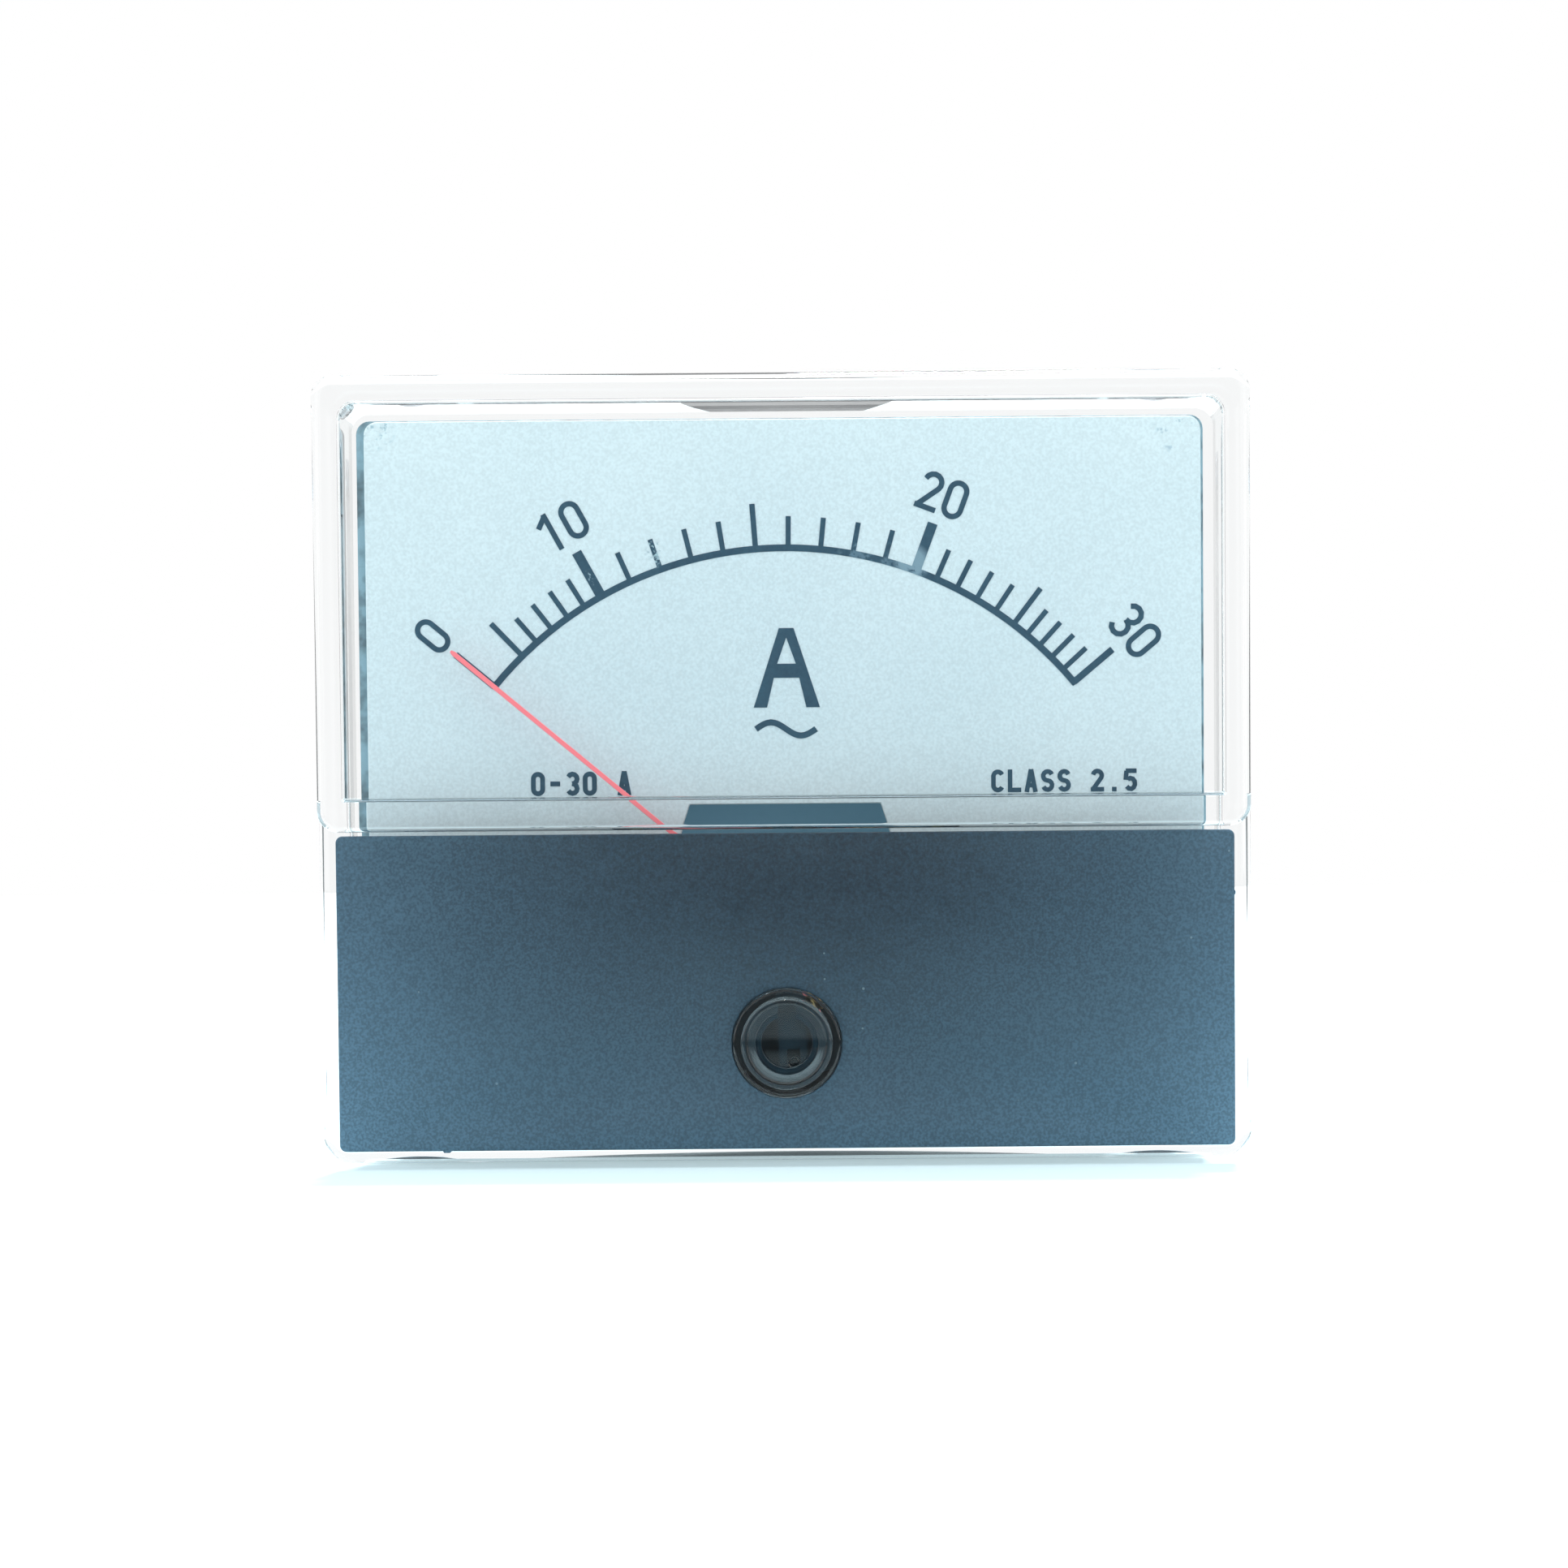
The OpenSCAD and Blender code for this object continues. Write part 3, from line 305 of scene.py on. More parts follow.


# light and dark tone, range of roughness, grain scales, and what lies on it, painted light among it; places
# and widths in metres
solidSettings = {
    "satinMask": {
        "light": (0.018, 0.049, 0.08), "dark": (0.004, 0.018, 0.034), "rough": (0.42, 0.55), "fine": 4600.0,
        "broad": 900.0, "fineness": 0.8, "bump": 0.000014, "contrast": 0.2,
        "speckle": {"scale": 5200.0, "depth": 0.34},
        # painted light: the mask lighter towards its sides and bottom, where more light falls on it
        "tint": {"halfWidth": 0.0335, "sides": 0.38, "from": -0.002, "to": -0.0285, "bend": 2.2, "ends": 0.48,
                 "clouds": 70.0, "uneven": 0.14, "colour": (0.135, 0.29, 0.42)},
        "dust": {"scale": 700.0, "size": 0.07, "sparse": 0.93, "strength": 0.3, "colour": (0.3, 0.45, 0.5)}},
    "caseBlack": {
        "light": (0.032, 0.033, 0.036), "dark": (0.014, 0.0145, 0.016), "rough": (0.38, 0.55), "fine": 1500.0,
        "broad": 90.0, "fineness": 0.7, "bump": 0.00003,
        # painted light: pale streaks on the black rim beside and above the dial
        "rim": {"from": -0.0008, "to": -0.0014, "colour": (0.3, 0.46, 0.54), "streaks": 420.0,
                "halfWidth": 0.0302, "top": 0.0254},
        "dust": {"scale": 260.0, "size": 0.07, "sparse": 0.75, "strength": 0.3, "colour": (0.3, 0.31, 0.32)},
        "scratch": {"scale": 60.0, "amount": 0.12, "colour": (0.09, 0.09, 0.095)}},
    "dialPaint": {
        "light": (0.79, 0.88, 0.92), "dark": (0.66, 0.78, 0.83), "rough": (0.42, 0.52), "fine": 3600.0,
        "broad": 40.0, "fineness": 0.5, "bump": 0.000006, "contrast": 0.3,
        "speckle": {"scale": 5200.0, "depth": 0.1},
        # painted light: the dial lighter towards its sides and top, where more light falls on it
        "tint": {"halfWidth": 0.0312, "sides": 0.25, "from": 0.004, "to": 0.027, "bend": 1.5, "ends": 0.7,
                 "clouds": 70.0, "uneven": 0.6, "colour": (0.87, 0.96, 0.985)},
        "dust": {"scale": 240.0, "size": 0.05, "sparse": 0.86, "strength": 0.4, "colour": (0.3, 0.42, 0.5)},
        "worn": [
            {"place": (-0.0096, -0.003, 0.0168), "radius": 0.0008, "scale": 2600.0, "gap": 0.55,
             "colour": (0.36, 0.5, 0.58)},
            {"place": (0.0296, -0.003, 0.0255), "radius": 0.0022, "scale": 1500.0, "gap": 0.55,
             "colour": (0.42, 0.56, 0.64)},
            {"place": (-0.0302, -0.003, 0.0258), "radius": 0.0016, "scale": 1800.0, "gap": 0.56,
             "colour": (0.45, 0.6, 0.66)}]},
    "printInk": {
        "light": (0.03, 0.1, 0.155), "dark": (0.008, 0.05, 0.095), "rough": (0.45, 0.6), "fine": 3000.0,
        "broad": 300.0, "bump": 0.000004, "contrast": 0.25,
        "worn": [
            {"place": (0.0096, -0.003, 0.0158), "radius": 0.0015, "scale": 900.0, "gap": 0.3,
             "colour": (0.22, 0.34, 0.42)},
            {"place": (0.0062, -0.003, 0.0158), "radius": 0.0026, "scale": 1500.0, "gap": 0.5,
             "colour": (0.1, 0.19, 0.26)},
            {"place": (-0.0098, -0.003, 0.0166), "radius": 0.0012, "scale": 2400.0, "gap": 0.5,
             "colour": (0.5, 0.68, 0.75)},
            {"place": (-0.0148, -0.003, 0.0146), "radius": 0.001, "scale": 2600.0, "gap": 0.56,
             "colour": (0.35, 0.5, 0.58)}]},
    # painted light: the pointer's paint also glows a little, so it shows brighter than its colour alone
    "pointerPaint": {
        "light": (1.0, 0.21, 0.24), "dark": (0.94, 0.17, 0.2), "rough": (0.4, 0.5), "fine": 3000.0,
        "broad": 200.0, "bump": 0.000006, "glow": {"colour": (1.0, 0.36, 0.42), "strength": 0.14}},
    "zincPlate": {
        "light": (0.6, 0.63, 0.67), "dark": (0.42, 0.44, 0.48), "rough": (0.22, 0.42), "metallic": 1.0,
        "fine": 1800.0, "broad": 160.0, "fineness": 0.45, "bump": 0.00001,
        "scratch": {"scale": 200.0, "amount": 0.25, "colour": (0.75, 0.77, 0.8)}},
    "springSteel": {
        "light": (0.36, 0.37, 0.39), "dark": (0.22, 0.225, 0.24), "rough": (0.24, 0.4), "metallic": 1.0,
        "fine": 2400.0, "broad": 200.0, "fineness": 0.5, "bump": 0.00001},
    "polishedSteel": {
        "light": (0.66, 0.67, 0.69), "dark": (0.5, 0.51, 0.53), "rough": (0.12, 0.25), "metallic": 1.0,
        "fine": 2600.0, "broad": 200.0, "fineness": 0.5, "bump": 0.000005},
    "turnedBrass": {
        "light": (0.76, 0.54, 0.24), "dark": (0.56, 0.37, 0.14), "rough": (0.2, 0.38), "metallic": 1.0,
        "fine": 2200.0, "broad": 130.0, "fineness": 0.4, "bump": 0.000012,
        "scratch": {"scale": 160.0, "amount": 0.25, "colour": (0.88, 0.7, 0.4)}},
    "paleBrass": {
        "light": (0.74, 0.61, 0.37), "dark": (0.55, 0.42, 0.22), "rough": (0.2, 0.4), "metallic": 1.0,
        "fine": 1900.0, "broad": 110.0, "fineness": 0.4, "bump": 0.000015,
        "scratch": {"scale": 130.0, "amount": 0.3, "colour": (0.9, 0.78, 0.52)}},
    "springBronze": {
        "light": (0.66, 0.42, 0.2), "dark": (0.48, 0.28, 0.12), "rough": (0.22, 0.36), "metallic": 1.0,
        "fine": 2200.0, "broad": 200.0, "fineness": 0.4, "bump": 0.000006},
    "enamelCopper": {
        "light": (0.62, 0.2, 0.07), "dark": (0.42, 0.11, 0.035), "rough": (0.16, 0.3), "metallic": 1.0,
        "fine": 1600.0, "broad": 120.0, "fineness": 0.35, "bump": 0.00001, "coat": 0.6},
    "softIron": {
        "light": (0.24, 0.245, 0.26), "dark": (0.12, 0.12, 0.13), "rough": (0.4, 0.6), "metallic": 1.0,
        "fine": 1500.0, "broad": 140.0, "fineness": 0.55},
    "dullAluminium": {
        "light": (0.7, 0.71, 0.72), "dark": (0.54, 0.55, 0.57), "rough": (0.3, 0.48), "metallic": 1.0,
        "fine": 2000.0, "broad": 150.0, "fineness": 0.5, "bump": 0.000012,
        "scratch": {"scale": 120.0, "amount": 0.2, "colour": (0.82, 0.83, 0.84)}},
    # painted light: the black frame is given a slate-blue colour and a faint glow, for light that reaches it
    # through the dial's notch
    "blackAluminium": {
        "light": (0.13, 0.25, 0.35), "dark": (0.09, 0.19, 0.27), "rough": (0.45, 0.6), "fine": 1800.0,
        "broad": 120.0, "bump": 0.00001, "glow": {"colour": (0.3, 0.72, 1.0), "strength": 0.15}},
    "blackSteel": {
        "light": (0.02, 0.045, 0.065), "dark": (0.01, 0.027, 0.04), "rough": (0.6, 0.75), "fine": 1800.0,
        "broad": 120.0, "bump": 0.00001, "ior": 1.12},
    "ivoryNylon": {
        "light": (0.74, 0.7, 0.56), "dark": (0.64, 0.59, 0.44), "rough": (0.36, 0.5), "fine": 1500.0,
        "broad": 90.0, "fineness": 0.5},
}
clearSettings = {
    "clearStyrene": {"colour": (0.985, 0.997, 0.999), "waviness": 0.000009, "ior": 1.5,
                     "trapped": (0.88, 0.96, 0.98)},
    "clearKnob": {"colour": (0.93, 0.975, 0.985), "waviness": 0.000006, "ior": 1.36,
                  "trapped": (0.35, 0.45, 0.5)},
}
finish = {name: clearFinish(name, **settings) for name, settings in clearSettings.items()}
finish |= {name: solidFinish(name, **settings) for name, settings in solidSettings.items()}

nodesOfFinish = {
    "clearStyrene": ["front_cover"],
    "clearKnob": ["zero_adjuster"],
    "satinMask": ["mask_plate"],
    "caseBlack": ["rear_case", "damping_box"],
    "dialPaint": ["dial_plate"],
    "printInk": ["scale_print"],
    "pointerPaint": ["pointer"],
    "zincPlate": ["cover_screws", "dial_screws", "bridge_screws", "frame_screws", "mounting_studs",
                  "mounting_washers", "mounting_nuts"],
    "springSteel": ["terminal_spring_washers", "stop_pins"],
    "polishedSteel": ["spindle"],
    "turnedBrass": ["spring_collet", "front_bridge", "front_jewel_screw", "jewel_locknut", "rear_jewel_screw",
                    "pointer_bush", "balance_weights"],
    "paleBrass": ["terminal_studs", "terminal_washers", "terminal_nuts"],
    "springBronze": ["hairspring"],
    "enamelCopper": ["coil_winding", "coil_leads"],
    "softIron": ["fixed_iron", "moving_iron"],
    "dullAluminium": ["damping_vane"],
    "blackAluminium": ["movement_frame"],
    "blackSteel": ["adjuster_clip", "zero_lever", "damping_lid"],
    "ivoryNylon": ["coil_bobbin"],
}
materialOf = {node: finish[name] for name, nodes in nodesOfFinish.items() for node in nodes}
for nodeName, obj in frame["nodes"].items():
    obj.data.materials.clear()
    obj.data.materials.append(materialOf[nodeName])
print("finishes made:", len(finish))


# mesh helpers
def newPiece(name, mesh, node):
    obj = bpy.data.objects.new(name, mesh)
    scene.collection.objects.link(obj)
    mesh.materials.clear()
    mesh.materials.append(materialOf[node])
    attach(obj, bodyOfNode[node])
    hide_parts(node)


def meshFrom(bm, name):
    bmesh.ops.remove_doubles(bm, verts=bm.verts, dist=1e-7)
    bmesh.ops.recalc_face_normals(bm, faces=bm.faces)
    mesh = bpy.data.meshes.new(name)
    bm.to_mesh(mesh)
    bm.free()
    return mesh


def roundedLoop(x0, x1, z0, z1, radius, steps, low=None):
    low = radius if low is None else low  # radius of the two lower corners
    points = []
    for cx, cz, r, start in ((x1 - radius, z1 - radius, radius, 0), (x0 + radius, z1 - radius, radius, 90),
                             (x0 + low, z0 + low, low, 180), (x1 - low, z0 + low, low, 270)):
        for i in range(steps + 1):
            a = math.radians(start + 90 * i / steps)
            points.append((cx + r * math.cos(a), cz + r * math.sin(a)))
    return points


def loftRings(rings, name):  # rings of (y, loop), front to back
    bm = bmesh.new()
    rows = [[bm.verts.new((x * mm, y * mm, z * mm)) for x, z in loop] for y, loop in rings]
    count = len(rows[0])
    for a, b in zip(rows, rows[1:]):
        for i in range(count):
            j = (i + 1) % count
            bm.faces.new((a[i], a[j], b[j], b[i]))
    bm.faces.new(rows[0])
    bm.faces.new(rows[-1])
    return meshFrom(bm, name)


def latheMesh(profile, name, x=0.0, z=0.0, steps=64):  # profile of (radius, y), pole to pole
    bm = bmesh.new()
    rows = []
    for radius, y in profile:
        if radius < 1e-6:
            rows.append([bm.verts.new((x * mm, y * mm, z * mm))])
        else:
            turns = [2 * math.pi * k / steps for k in range(steps)]
            ring = [(x + radius * math.sin(a), z + radius * math.cos(a)) for a in turns]
            rows.append([bm.verts.new((across * mm, y * mm, up * mm)) for across, up in ring])
    for a, b in zip(rows, rows[1:]):
        for k in range(steps):
            j = (k + 1) % steps
            quad = [a[k % len(a)], a[j % len(a)], b[j % len(b)], b[k % len(b)]]
            corners = [v for i, v in enumerate(quad) if v not in quad[:i]]
            if len(corners) > 2:
                bm.faces.new(corners)
    return meshFrom(bm, name)


def combine(base, tools, operation):
    body = bpy.data.objects.new("cutBase", base)
    scene.collection.objects.link(body)
    others = []
    for i, tool in enumerate(tools):
        other = bpy.data.objects.new("cutTool", tool)
        scene.collection.objects.link(other)
        others.append(other)
        cut = body.modifiers.new(f"cut{i}", "BOOLEAN")
        cut.operation = operation
        cut.solver = "EXACT"
        cut.object = other
    result = evaluated(body)
    for obj in [body] + others:
        bpy.data.objects.remove(obj)
    return result


def evaluated(obj):
    return bpy.data.meshes.new_from_object(obj.evaluated_get(bpy.context.evaluated_depsgraph_get()))


def finishMesh(mesh, name, bevel=0.0, segments=2, angle=32.0):
    obj = bpy.data.objects.new("work", mesh)
    scene.collection.objects.link(obj)
    if bevel:
        rounding = obj.modifiers.new("edges", "BEVEL")
        rounding.width = bevel * mm
        rounding.segments = segments
        rounding.limit_method = "ANGLE"
        rounding.angle_limit = math.radians(angle)
        rounding.harden_normals = False
        rounding.use_clamp_overlap = True
    mesh.shade_smooth()
    mesh.set_sharp_from_angle(angle=math.radians(angle))
    normals = obj.modifiers.new("normals", "WEIGHTED_NORMAL")
    normals.keep_sharp = True
    normals.weight = 100
    result = evaluated(obj)
    result.name = name
    bpy.data.objects.remove(obj)
    return result


def cadCopy(node, name, bevel, segments=2):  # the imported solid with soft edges
    bm = bmesh.new()
    bm.from_mesh(frame["nodes"][node].data)
    bmesh.ops.remove_doubles(bm, verts=bm.verts, dist=2e-6)
    bmesh.ops.dissolve_limit(bm, angle_limit=math.radians(0.5), verts=bm.verts, edges=bm.edges)
    mesh = bpy.data.meshes.new(name)
    bm.to_mesh(mesh)
    bm.free()
    return finishMesh(mesh, name, bevel, segments)


# clear cover: window box, shelf, lower face, the knob's collar and two screw posts in one moulding
cover = {"width": 70.0, "top": 30.0, "bottom": -29.0, "depth": 14.0, "lowerDrop": 6.0, "draft": 1.0,
         "wall": 2.7, "pane": 1.8, "shelfUnder": -4.0, "shelfTop": -1.8, "corner": 2.5, "edge": 0.8,
         "shelfEdge": 0.4, "leastCorner": 0.4, "innerCorner": 1.4, "innerEdge": 0.3,
         "windowLowCorner": 0.15, "steps": 14,
         "screws": ((-18, -23.0), (18, -23.0)), "post": 2.4, "postEnd": -2.4, "pilot": 1.24,
         "collar": 0.26, "collarHeight": 1.6, "collarRound": 0.12, "seat": 0.34, "neckGap": 0.06}
# knob: clear, turned, with a dished face and an eccentric pin
knob = {"z": -19.8, "radius": 3.4, "neck": 2.4, "front": -9.8, "back": -8.15, "round": 0.3, "backRound": 0.1,
        "dish": 0.06, "dishEdge": (0.56, 0.47, 0.42), "groove": (-6.14, -5.68), "grooveDepth": 0.4,
        "end": -5.64, "throw": 1.8, "pin": 0.45, "pinRoot": 0.11, "pinEnd": -4.0, "turn": -18.0}
past = 1.0  # how far a cutting tool reaches past a face


def outerBox(depth, z0, name):
    c = cover
    lowDraft = z0 < c["shelfUnder"]
    rings = []
    places = [(0.0, 0.0)] + [(depth - c["edge"] * (1 - math.sin(math.radians(t))),
                              c["edge"] * (1 - math.cos(math.radians(t)))) for t in range(0, 91, 9)]
    for y, inset in places:
        lean = c["draft"] * y / c["depth"] + inset
        low = z0 + (lean if lowDraft else inset * c["shelfEdge"] / c["edge"])
        radius = max(c["corner"] - lean, c["leastCorner"])
        rings.append((-y, roundedLoop(-c["width"] / 2 + lean, c["width"] / 2 - lean, low,
                                      c["top"] - lean, radius, c["steps"])))
    return loftRings(rings[::-1], name)


def innerBox(front, z0, name, low=None):
    c = cover
    x, z1 = c["width"] / 2 - c["wall"], c["top"] - c["wall"]
    rings = [(past, roundedLoop(-x, x, z0, z1, c["innerCorner"], c["steps"], low))]
    for t in range(0, 91, 15):
        y = front + c["innerEdge"] * (1 - math.sin(math.radians(t)))
        inset = c["innerEdge"] * (1 - math.cos(math.radians(t)))
        rings.append((y, roundedLoop(-x + inset, x - inset, z0 + inset, z1 - inset,
                                     c["innerCorner"] - inset, c["steps"], low)))
    return loftRings(rings[::-1], name)


def makeCover():
    c = cover
    lowerY = -(c["depth"] - c["lowerDrop"])
    lowerIn, windowIn = lowerY + c["pane"], -c["depth"] + c["pane"]
    body = combine(outerBox(-lowerY, c["bottom"], "lower"), [outerBox(c["depth"], c["shelfUnder"], "window")],
                   "UNION")
    rooms = [innerBox(lowerIn, c["bottom"] + c["wall"], "room"),
             innerBox(windowIn, c["shelfTop"], "windowRoom", c["windowLowCorner"])]
    body = combine(body, rooms, "DIFFERENCE")
    bore, neck = knob["radius"] + c["seat"], knob["neck"] + c["neckGap"]
    outer, top, soft = bore + c["collar"], lowerY - c["collarHeight"], c["collarRound"]
    root = lowerY + 0.8  # inside the pane
    profile = [(0, top), (outer - soft, top), (outer - soft / 3, top + soft / 3), (outer, top + soft),
               (outer, root), (0, root)]
    collar = latheMesh(profile, "collar", 0, knob["z"], 96)
    root, post, end, soft = lowerIn - 0.5, c["post"], c["postEnd"], 0.1
    profile = [(0, root), (post, root), (post, end - soft), (post - soft, end), (0, end)]
    posts = [latheMesh(profile, "post", x, z, 48) for x, z in c["screws"]]
    body = combine(body, [collar] + posts, "UNION")
    profile = [(0, top - past), (bore, top - past), (bore, lowerY), (neck, lowerY), (neck, lowerIn + past),
               (0, lowerIn + past)]
    seat = latheMesh(profile, "bore", 0, knob["z"], 96)
    profile = [(0, lowerIn), (c["pilot"], lowerIn), (c["pilot"], past), (0, past)]
    holes = [latheMesh(profile, "hole", x, z, 32) for x, z in c["screws"]]
    return combine(body, [seat] + holes, "DIFFERENCE")


coverMesh = finishMesh(makeCover(), "clearCover", angle=30.0)
newPiece("clearCover", coverMesh, "front_cover")
print("cover made:", len(coverMesh.polygons), "faces")


def makeKnob():
    k = knob
    r, n, front, back, soft, low = k["radius"], k["neck"], k["front"], k["back"], k["round"], k["backRound"]
    (clipFront, clipBack), core = k["groove"], n - k["grooveDepth"]
    floor, foot, rise, lip = front + k["dish"], *k["dishEdge"]
    profile = [(0, floor), (r - foot, floor), (r - rise, front + k["dish"] / 3), (r - lip, front)]
    profile += [(r - soft + soft * math.sin(math.radians(a)), front + soft - soft * math.cos(math.radians(a)))
                for a in range(0, 91, 15)]
    profile += [(r, back - low), (r - low, back), (n, back), (n, clipFront), (core, clipFront),
                (core, clipBack), (n, clipBack), (n, k["end"]), (0, k["end"])]
    turn = math.radians(k["turn"])
    x, z = -k["throw"] * math.sin(turn), k["z"] - k["throw"] * math.cos(turn)
    pin, root, end = k["pin"], k["end"] - k["pinRoot"], k["pinEnd"]
    pinProfile = [(0, root), (pin, root), (pin, end - low), (pin - low, end), (0, end)]
    body = latheMesh(profile, "knob", 0, k["z"], 96)
    return combine(body, [latheMesh(pinProfile, "pin", x, z, 32)], "UNION")


newPiece("clearKnob", finishMesh(makeKnob(), "clearKnob", angle=28.0), "zero_adjuster")
print("knob made")


# mask: the punched sheet on the cover's lower face, with nibs left where it was cut from its strip
mask = {"bevel": 0.12, "front": -8.58, "back": -8.02, "nibRound": 0.14,
        "nibs": [(-25.55, -24.95, -27.73, -27.3), (32.9, 33.27, -9.1, -8.72)]}


def makeMask():
    loops = [roundedLoop(*nib, mask["nibRound"], 5) for nib in mask["nibs"]]
    nibs = [loftRings([(mask["front"], loop), (mask["back"], loop)], "nib") for loop in loops]
    body = combine(cadCopy("mask_plate", "mask", mask["bevel"]), nibs, "UNION")
    body.shade_smooth()
    body.set_sharp_from_angle(angle=math.radians(40))
    return body


newPiece("mask", makeMask(), "mask_plate")

# soft edges on other pieces that show
softEdges = {"dial_plate": (0.08, 2), "pointer": (0.05, 2), "rear_case": (0.3, 3), "cover_screws": (0.08, 2),
             "adjuster_clip": (0.06, 2)}  # width and segments
for nodeName, edge in softEdges.items():
    pieceName = "soft" + "".join(part.title() for part in nodeName.split("_"))
    newPiece(pieceName, cadCopy(nodeName, pieceName, *edge), nodeName)
print("soft edged pieces made:", len(softEdges) + 1)


# rear hardware: threaded studs, nuts and washers placed at their points
# washers and spring: inner and outer radius, front, back; nuts: across flats, front, back
studs = {"x": 28.0, "z": 23.0, "radius": 1.5, "head": 2.9, "headFront": -2.4, "headBack": -1.2, "end": 12.0,
         "pitch": 0.5, "threadDepth": 0.2, "chamfer": 0.4,
         "washer": (1.62, 3.5, 2.5, 3.1), "washerEdge": 0.08, "nut": (5.5, 3.1, 5.5)}
terminals = {"x": 14.0, "z": 9.0, "radius": 3.0, "headAcross": 10.0, "headFront": 23.5, "headBack": 27.5,
             "end": 48.0, "pitch": 1.0, "threadDepth": 0.42, "chamfer": 0.8,
             "washers": [(3.12, 6.0, 30.0, 31.2), (3.12, 6.0, 35.8, 37.0)], "washerEdge": 0.12,
             "nuts": [(10.0, 31.2, 35.8), (10.0, 38.5, 43.1)],
             "spring": (3.15, 4.8, 37.0, 38.5), "springEdge": 0.14, "springLift": 0.36, "slot": 0.8}
nutGap = 0.02  # between a nut and its thread
anyTurn = 6.28  # round pieces are turned at random, by up to this
hexShares = {"face": 0.96, "edge": 0.012, "sink": 0.16}  # two of the width, the last of the bore


def nodeTree(name, sockets):
    tree = bpy.data.node_groups.new(name, "GeometryNodeTree")
    for label, kind in sockets:
        tree.interface.new_socket(name=label, in_out="INPUT", socket_type="NodeSocket" + kind)
    tree.interface.new_socket(name="Geometry", in_out="OUTPUT", socket_type="NodeSocketGeometry")
    return tree, tree.nodes.new("NodeGroupInput").outputs, tree.nodes.new("NodeGroupOutput").inputs


def makeThreadTree(around=32):  # a grid rolled up, its radius cut by a wave that climbs one pitch a turn
    sizes = [(label, "Float") for label in ("Radius", "Start", "End", "Pitch", "Depth", "Chamfer")]
    tree, given, result = nodeTree("threadedRod", [("Geometry", "Geometry")] + sizes + [("Rows", "Int")])
    grid = tree.nodes.new("GeometryNodeMeshGrid")
    tree.links.new(given["Rows"], grid.inputs["Vertices X"])
    grid.inputs["Vertices Y"].default_value = around + 1
    index = tree.nodes.new("GeometryNodeInputIndex").outputs[0]
    row = mathNode(tree, "FLOOR", mathNode(tree, "DIVIDE", mathNode(tree, "ADD", index, 0.5), around + 1.0))
    column = mathNode(tree, "SUBTRACT", index, product(tree, row, around + 1.0))
    turn = mathNode(tree, "DIVIDE", column, float(around))
    share = mathNode(tree, "DIVIDE", mathNode(tree, "SUBTRACT", row, 1.0),
                     mathNode(tree, "SUBTRACT", given["Rows"], 3.0), clamp=True)
    length = mathNode(tree, "SUBTRACT", given["End"], given["Start"])
    along = product(tree, share, length)
    phase = mathNode(tree, "SUBTRACT", mathNode(tree, "DIVIDE", along, given["Pitch"]), turn)
    wave = product(tree, mathNode(tree, "PINGPONG", phase, 0.5), 2.0)
    flank = rangeNode(tree, wave, 0.14, 0.9)  # flat at crest and root
    radius = mathNode(tree, "SUBTRACT", given["Radius"], product(tree, flank, given["Depth"]))
    tip = mathNode(tree, "ADD", mathNode(tree, "SUBTRACT", given["Radius"], given["Chamfer"]),
                   mathNode(tree, "SUBTRACT", length, along))
    radius = mathNode(tree, "MINIMUM", radius, tip)
    first = mathNode(tree, "GREATER_THAN", row, 0.5)  # the first and last rows are drawn to a point
    last = mathNode(tree, "LESS_THAN", row, mathNode(tree, "SUBTRACT", given["Rows"], 1.5))
    radius = product(tree, radius, product(tree, first, last))
    angle = product(tree, turn, 2 * math.pi)
    place = tree.nodes.new("ShaderNodeCombineXYZ")
    tree.links.new(product(tree, radius, mathNode(tree, "SINE", angle)), place.inputs["X"])
    tree.links.new(mathNode(tree, "ADD", along, given["Start"]), place.inputs["Y"])
    tree.links.new(product(tree, radius, mathNode(tree, "COSINE", angle)), place.inputs["Z"])
    bend = tree.nodes.new("GeometryNodeSetPosition")
    tree.links.new(grid.outputs["Mesh"], bend.inputs["Geometry"])
    tree.links.new(place.outputs[0], bend.inputs["Position"])
    weld = tree.nodes.new("GeometryNodeMergeByDistance")
    weld.inputs["Distance"].default_value = 1e-6
    tree.links.new(bend.outputs[0], weld.inputs["Geometry"])
    both = tree.nodes.new("GeometryNodeJoinGeometry")
    tree.links.new(weld.outputs[0], both.inputs[0])
    tree.links.new(given["Geometry"], both.inputs[0])
    tree.links.new(both.outputs[0], result["Geometry"])
    return tree


def makeCopyTree():
    sockets = [("Geometry", "Geometry"), ("Item", "Object"), ("Spin", "Float"), ("Seed", "Int"),
               ("Material", "Material")]
    tree, given, result = nodeTree("placeCopies", sockets)
    item = tree.nodes.new("GeometryNodeObjectInfo")
    tree.links.new(given["Item"], item.inputs["Object"])
    spin = tree.nodes.new("FunctionNodeRandomValue")
    spin.data_type = "FLOAT"
    tree.links.new(given["Spin"], spin.inputs[3])
    tree.links.new(given["Seed"], spin.inputs["Seed"])
    turn = tree.nodes.new("ShaderNodeCombineXYZ")
    tree.links.new(spin.outputs[1], turn.inputs["Y"])
    copies = tree.nodes.new("GeometryNodeInstanceOnPoints")
    tree.links.new(given["Geometry"], copies.inputs["Points"])
    tree.links.new(item.outputs["Geometry"], copies.inputs["Instance"])
    tree.links.new(turn.outputs[0], copies.inputs["Rotation"])
    real = tree.nodes.new("GeometryNodeRealizeInstances")
    tree.links.new(copies.outputs[0], real.inputs[0])
    paint = tree.nodes.new("GeometryNodeSetMaterial")
    tree.links.new(real.outputs[0], paint.inputs["Geometry"])
    tree.links.new(given["Material"], paint.inputs["Material"])
    tree.links.new(paint.outputs[0], result["Geometry"])
    return tree


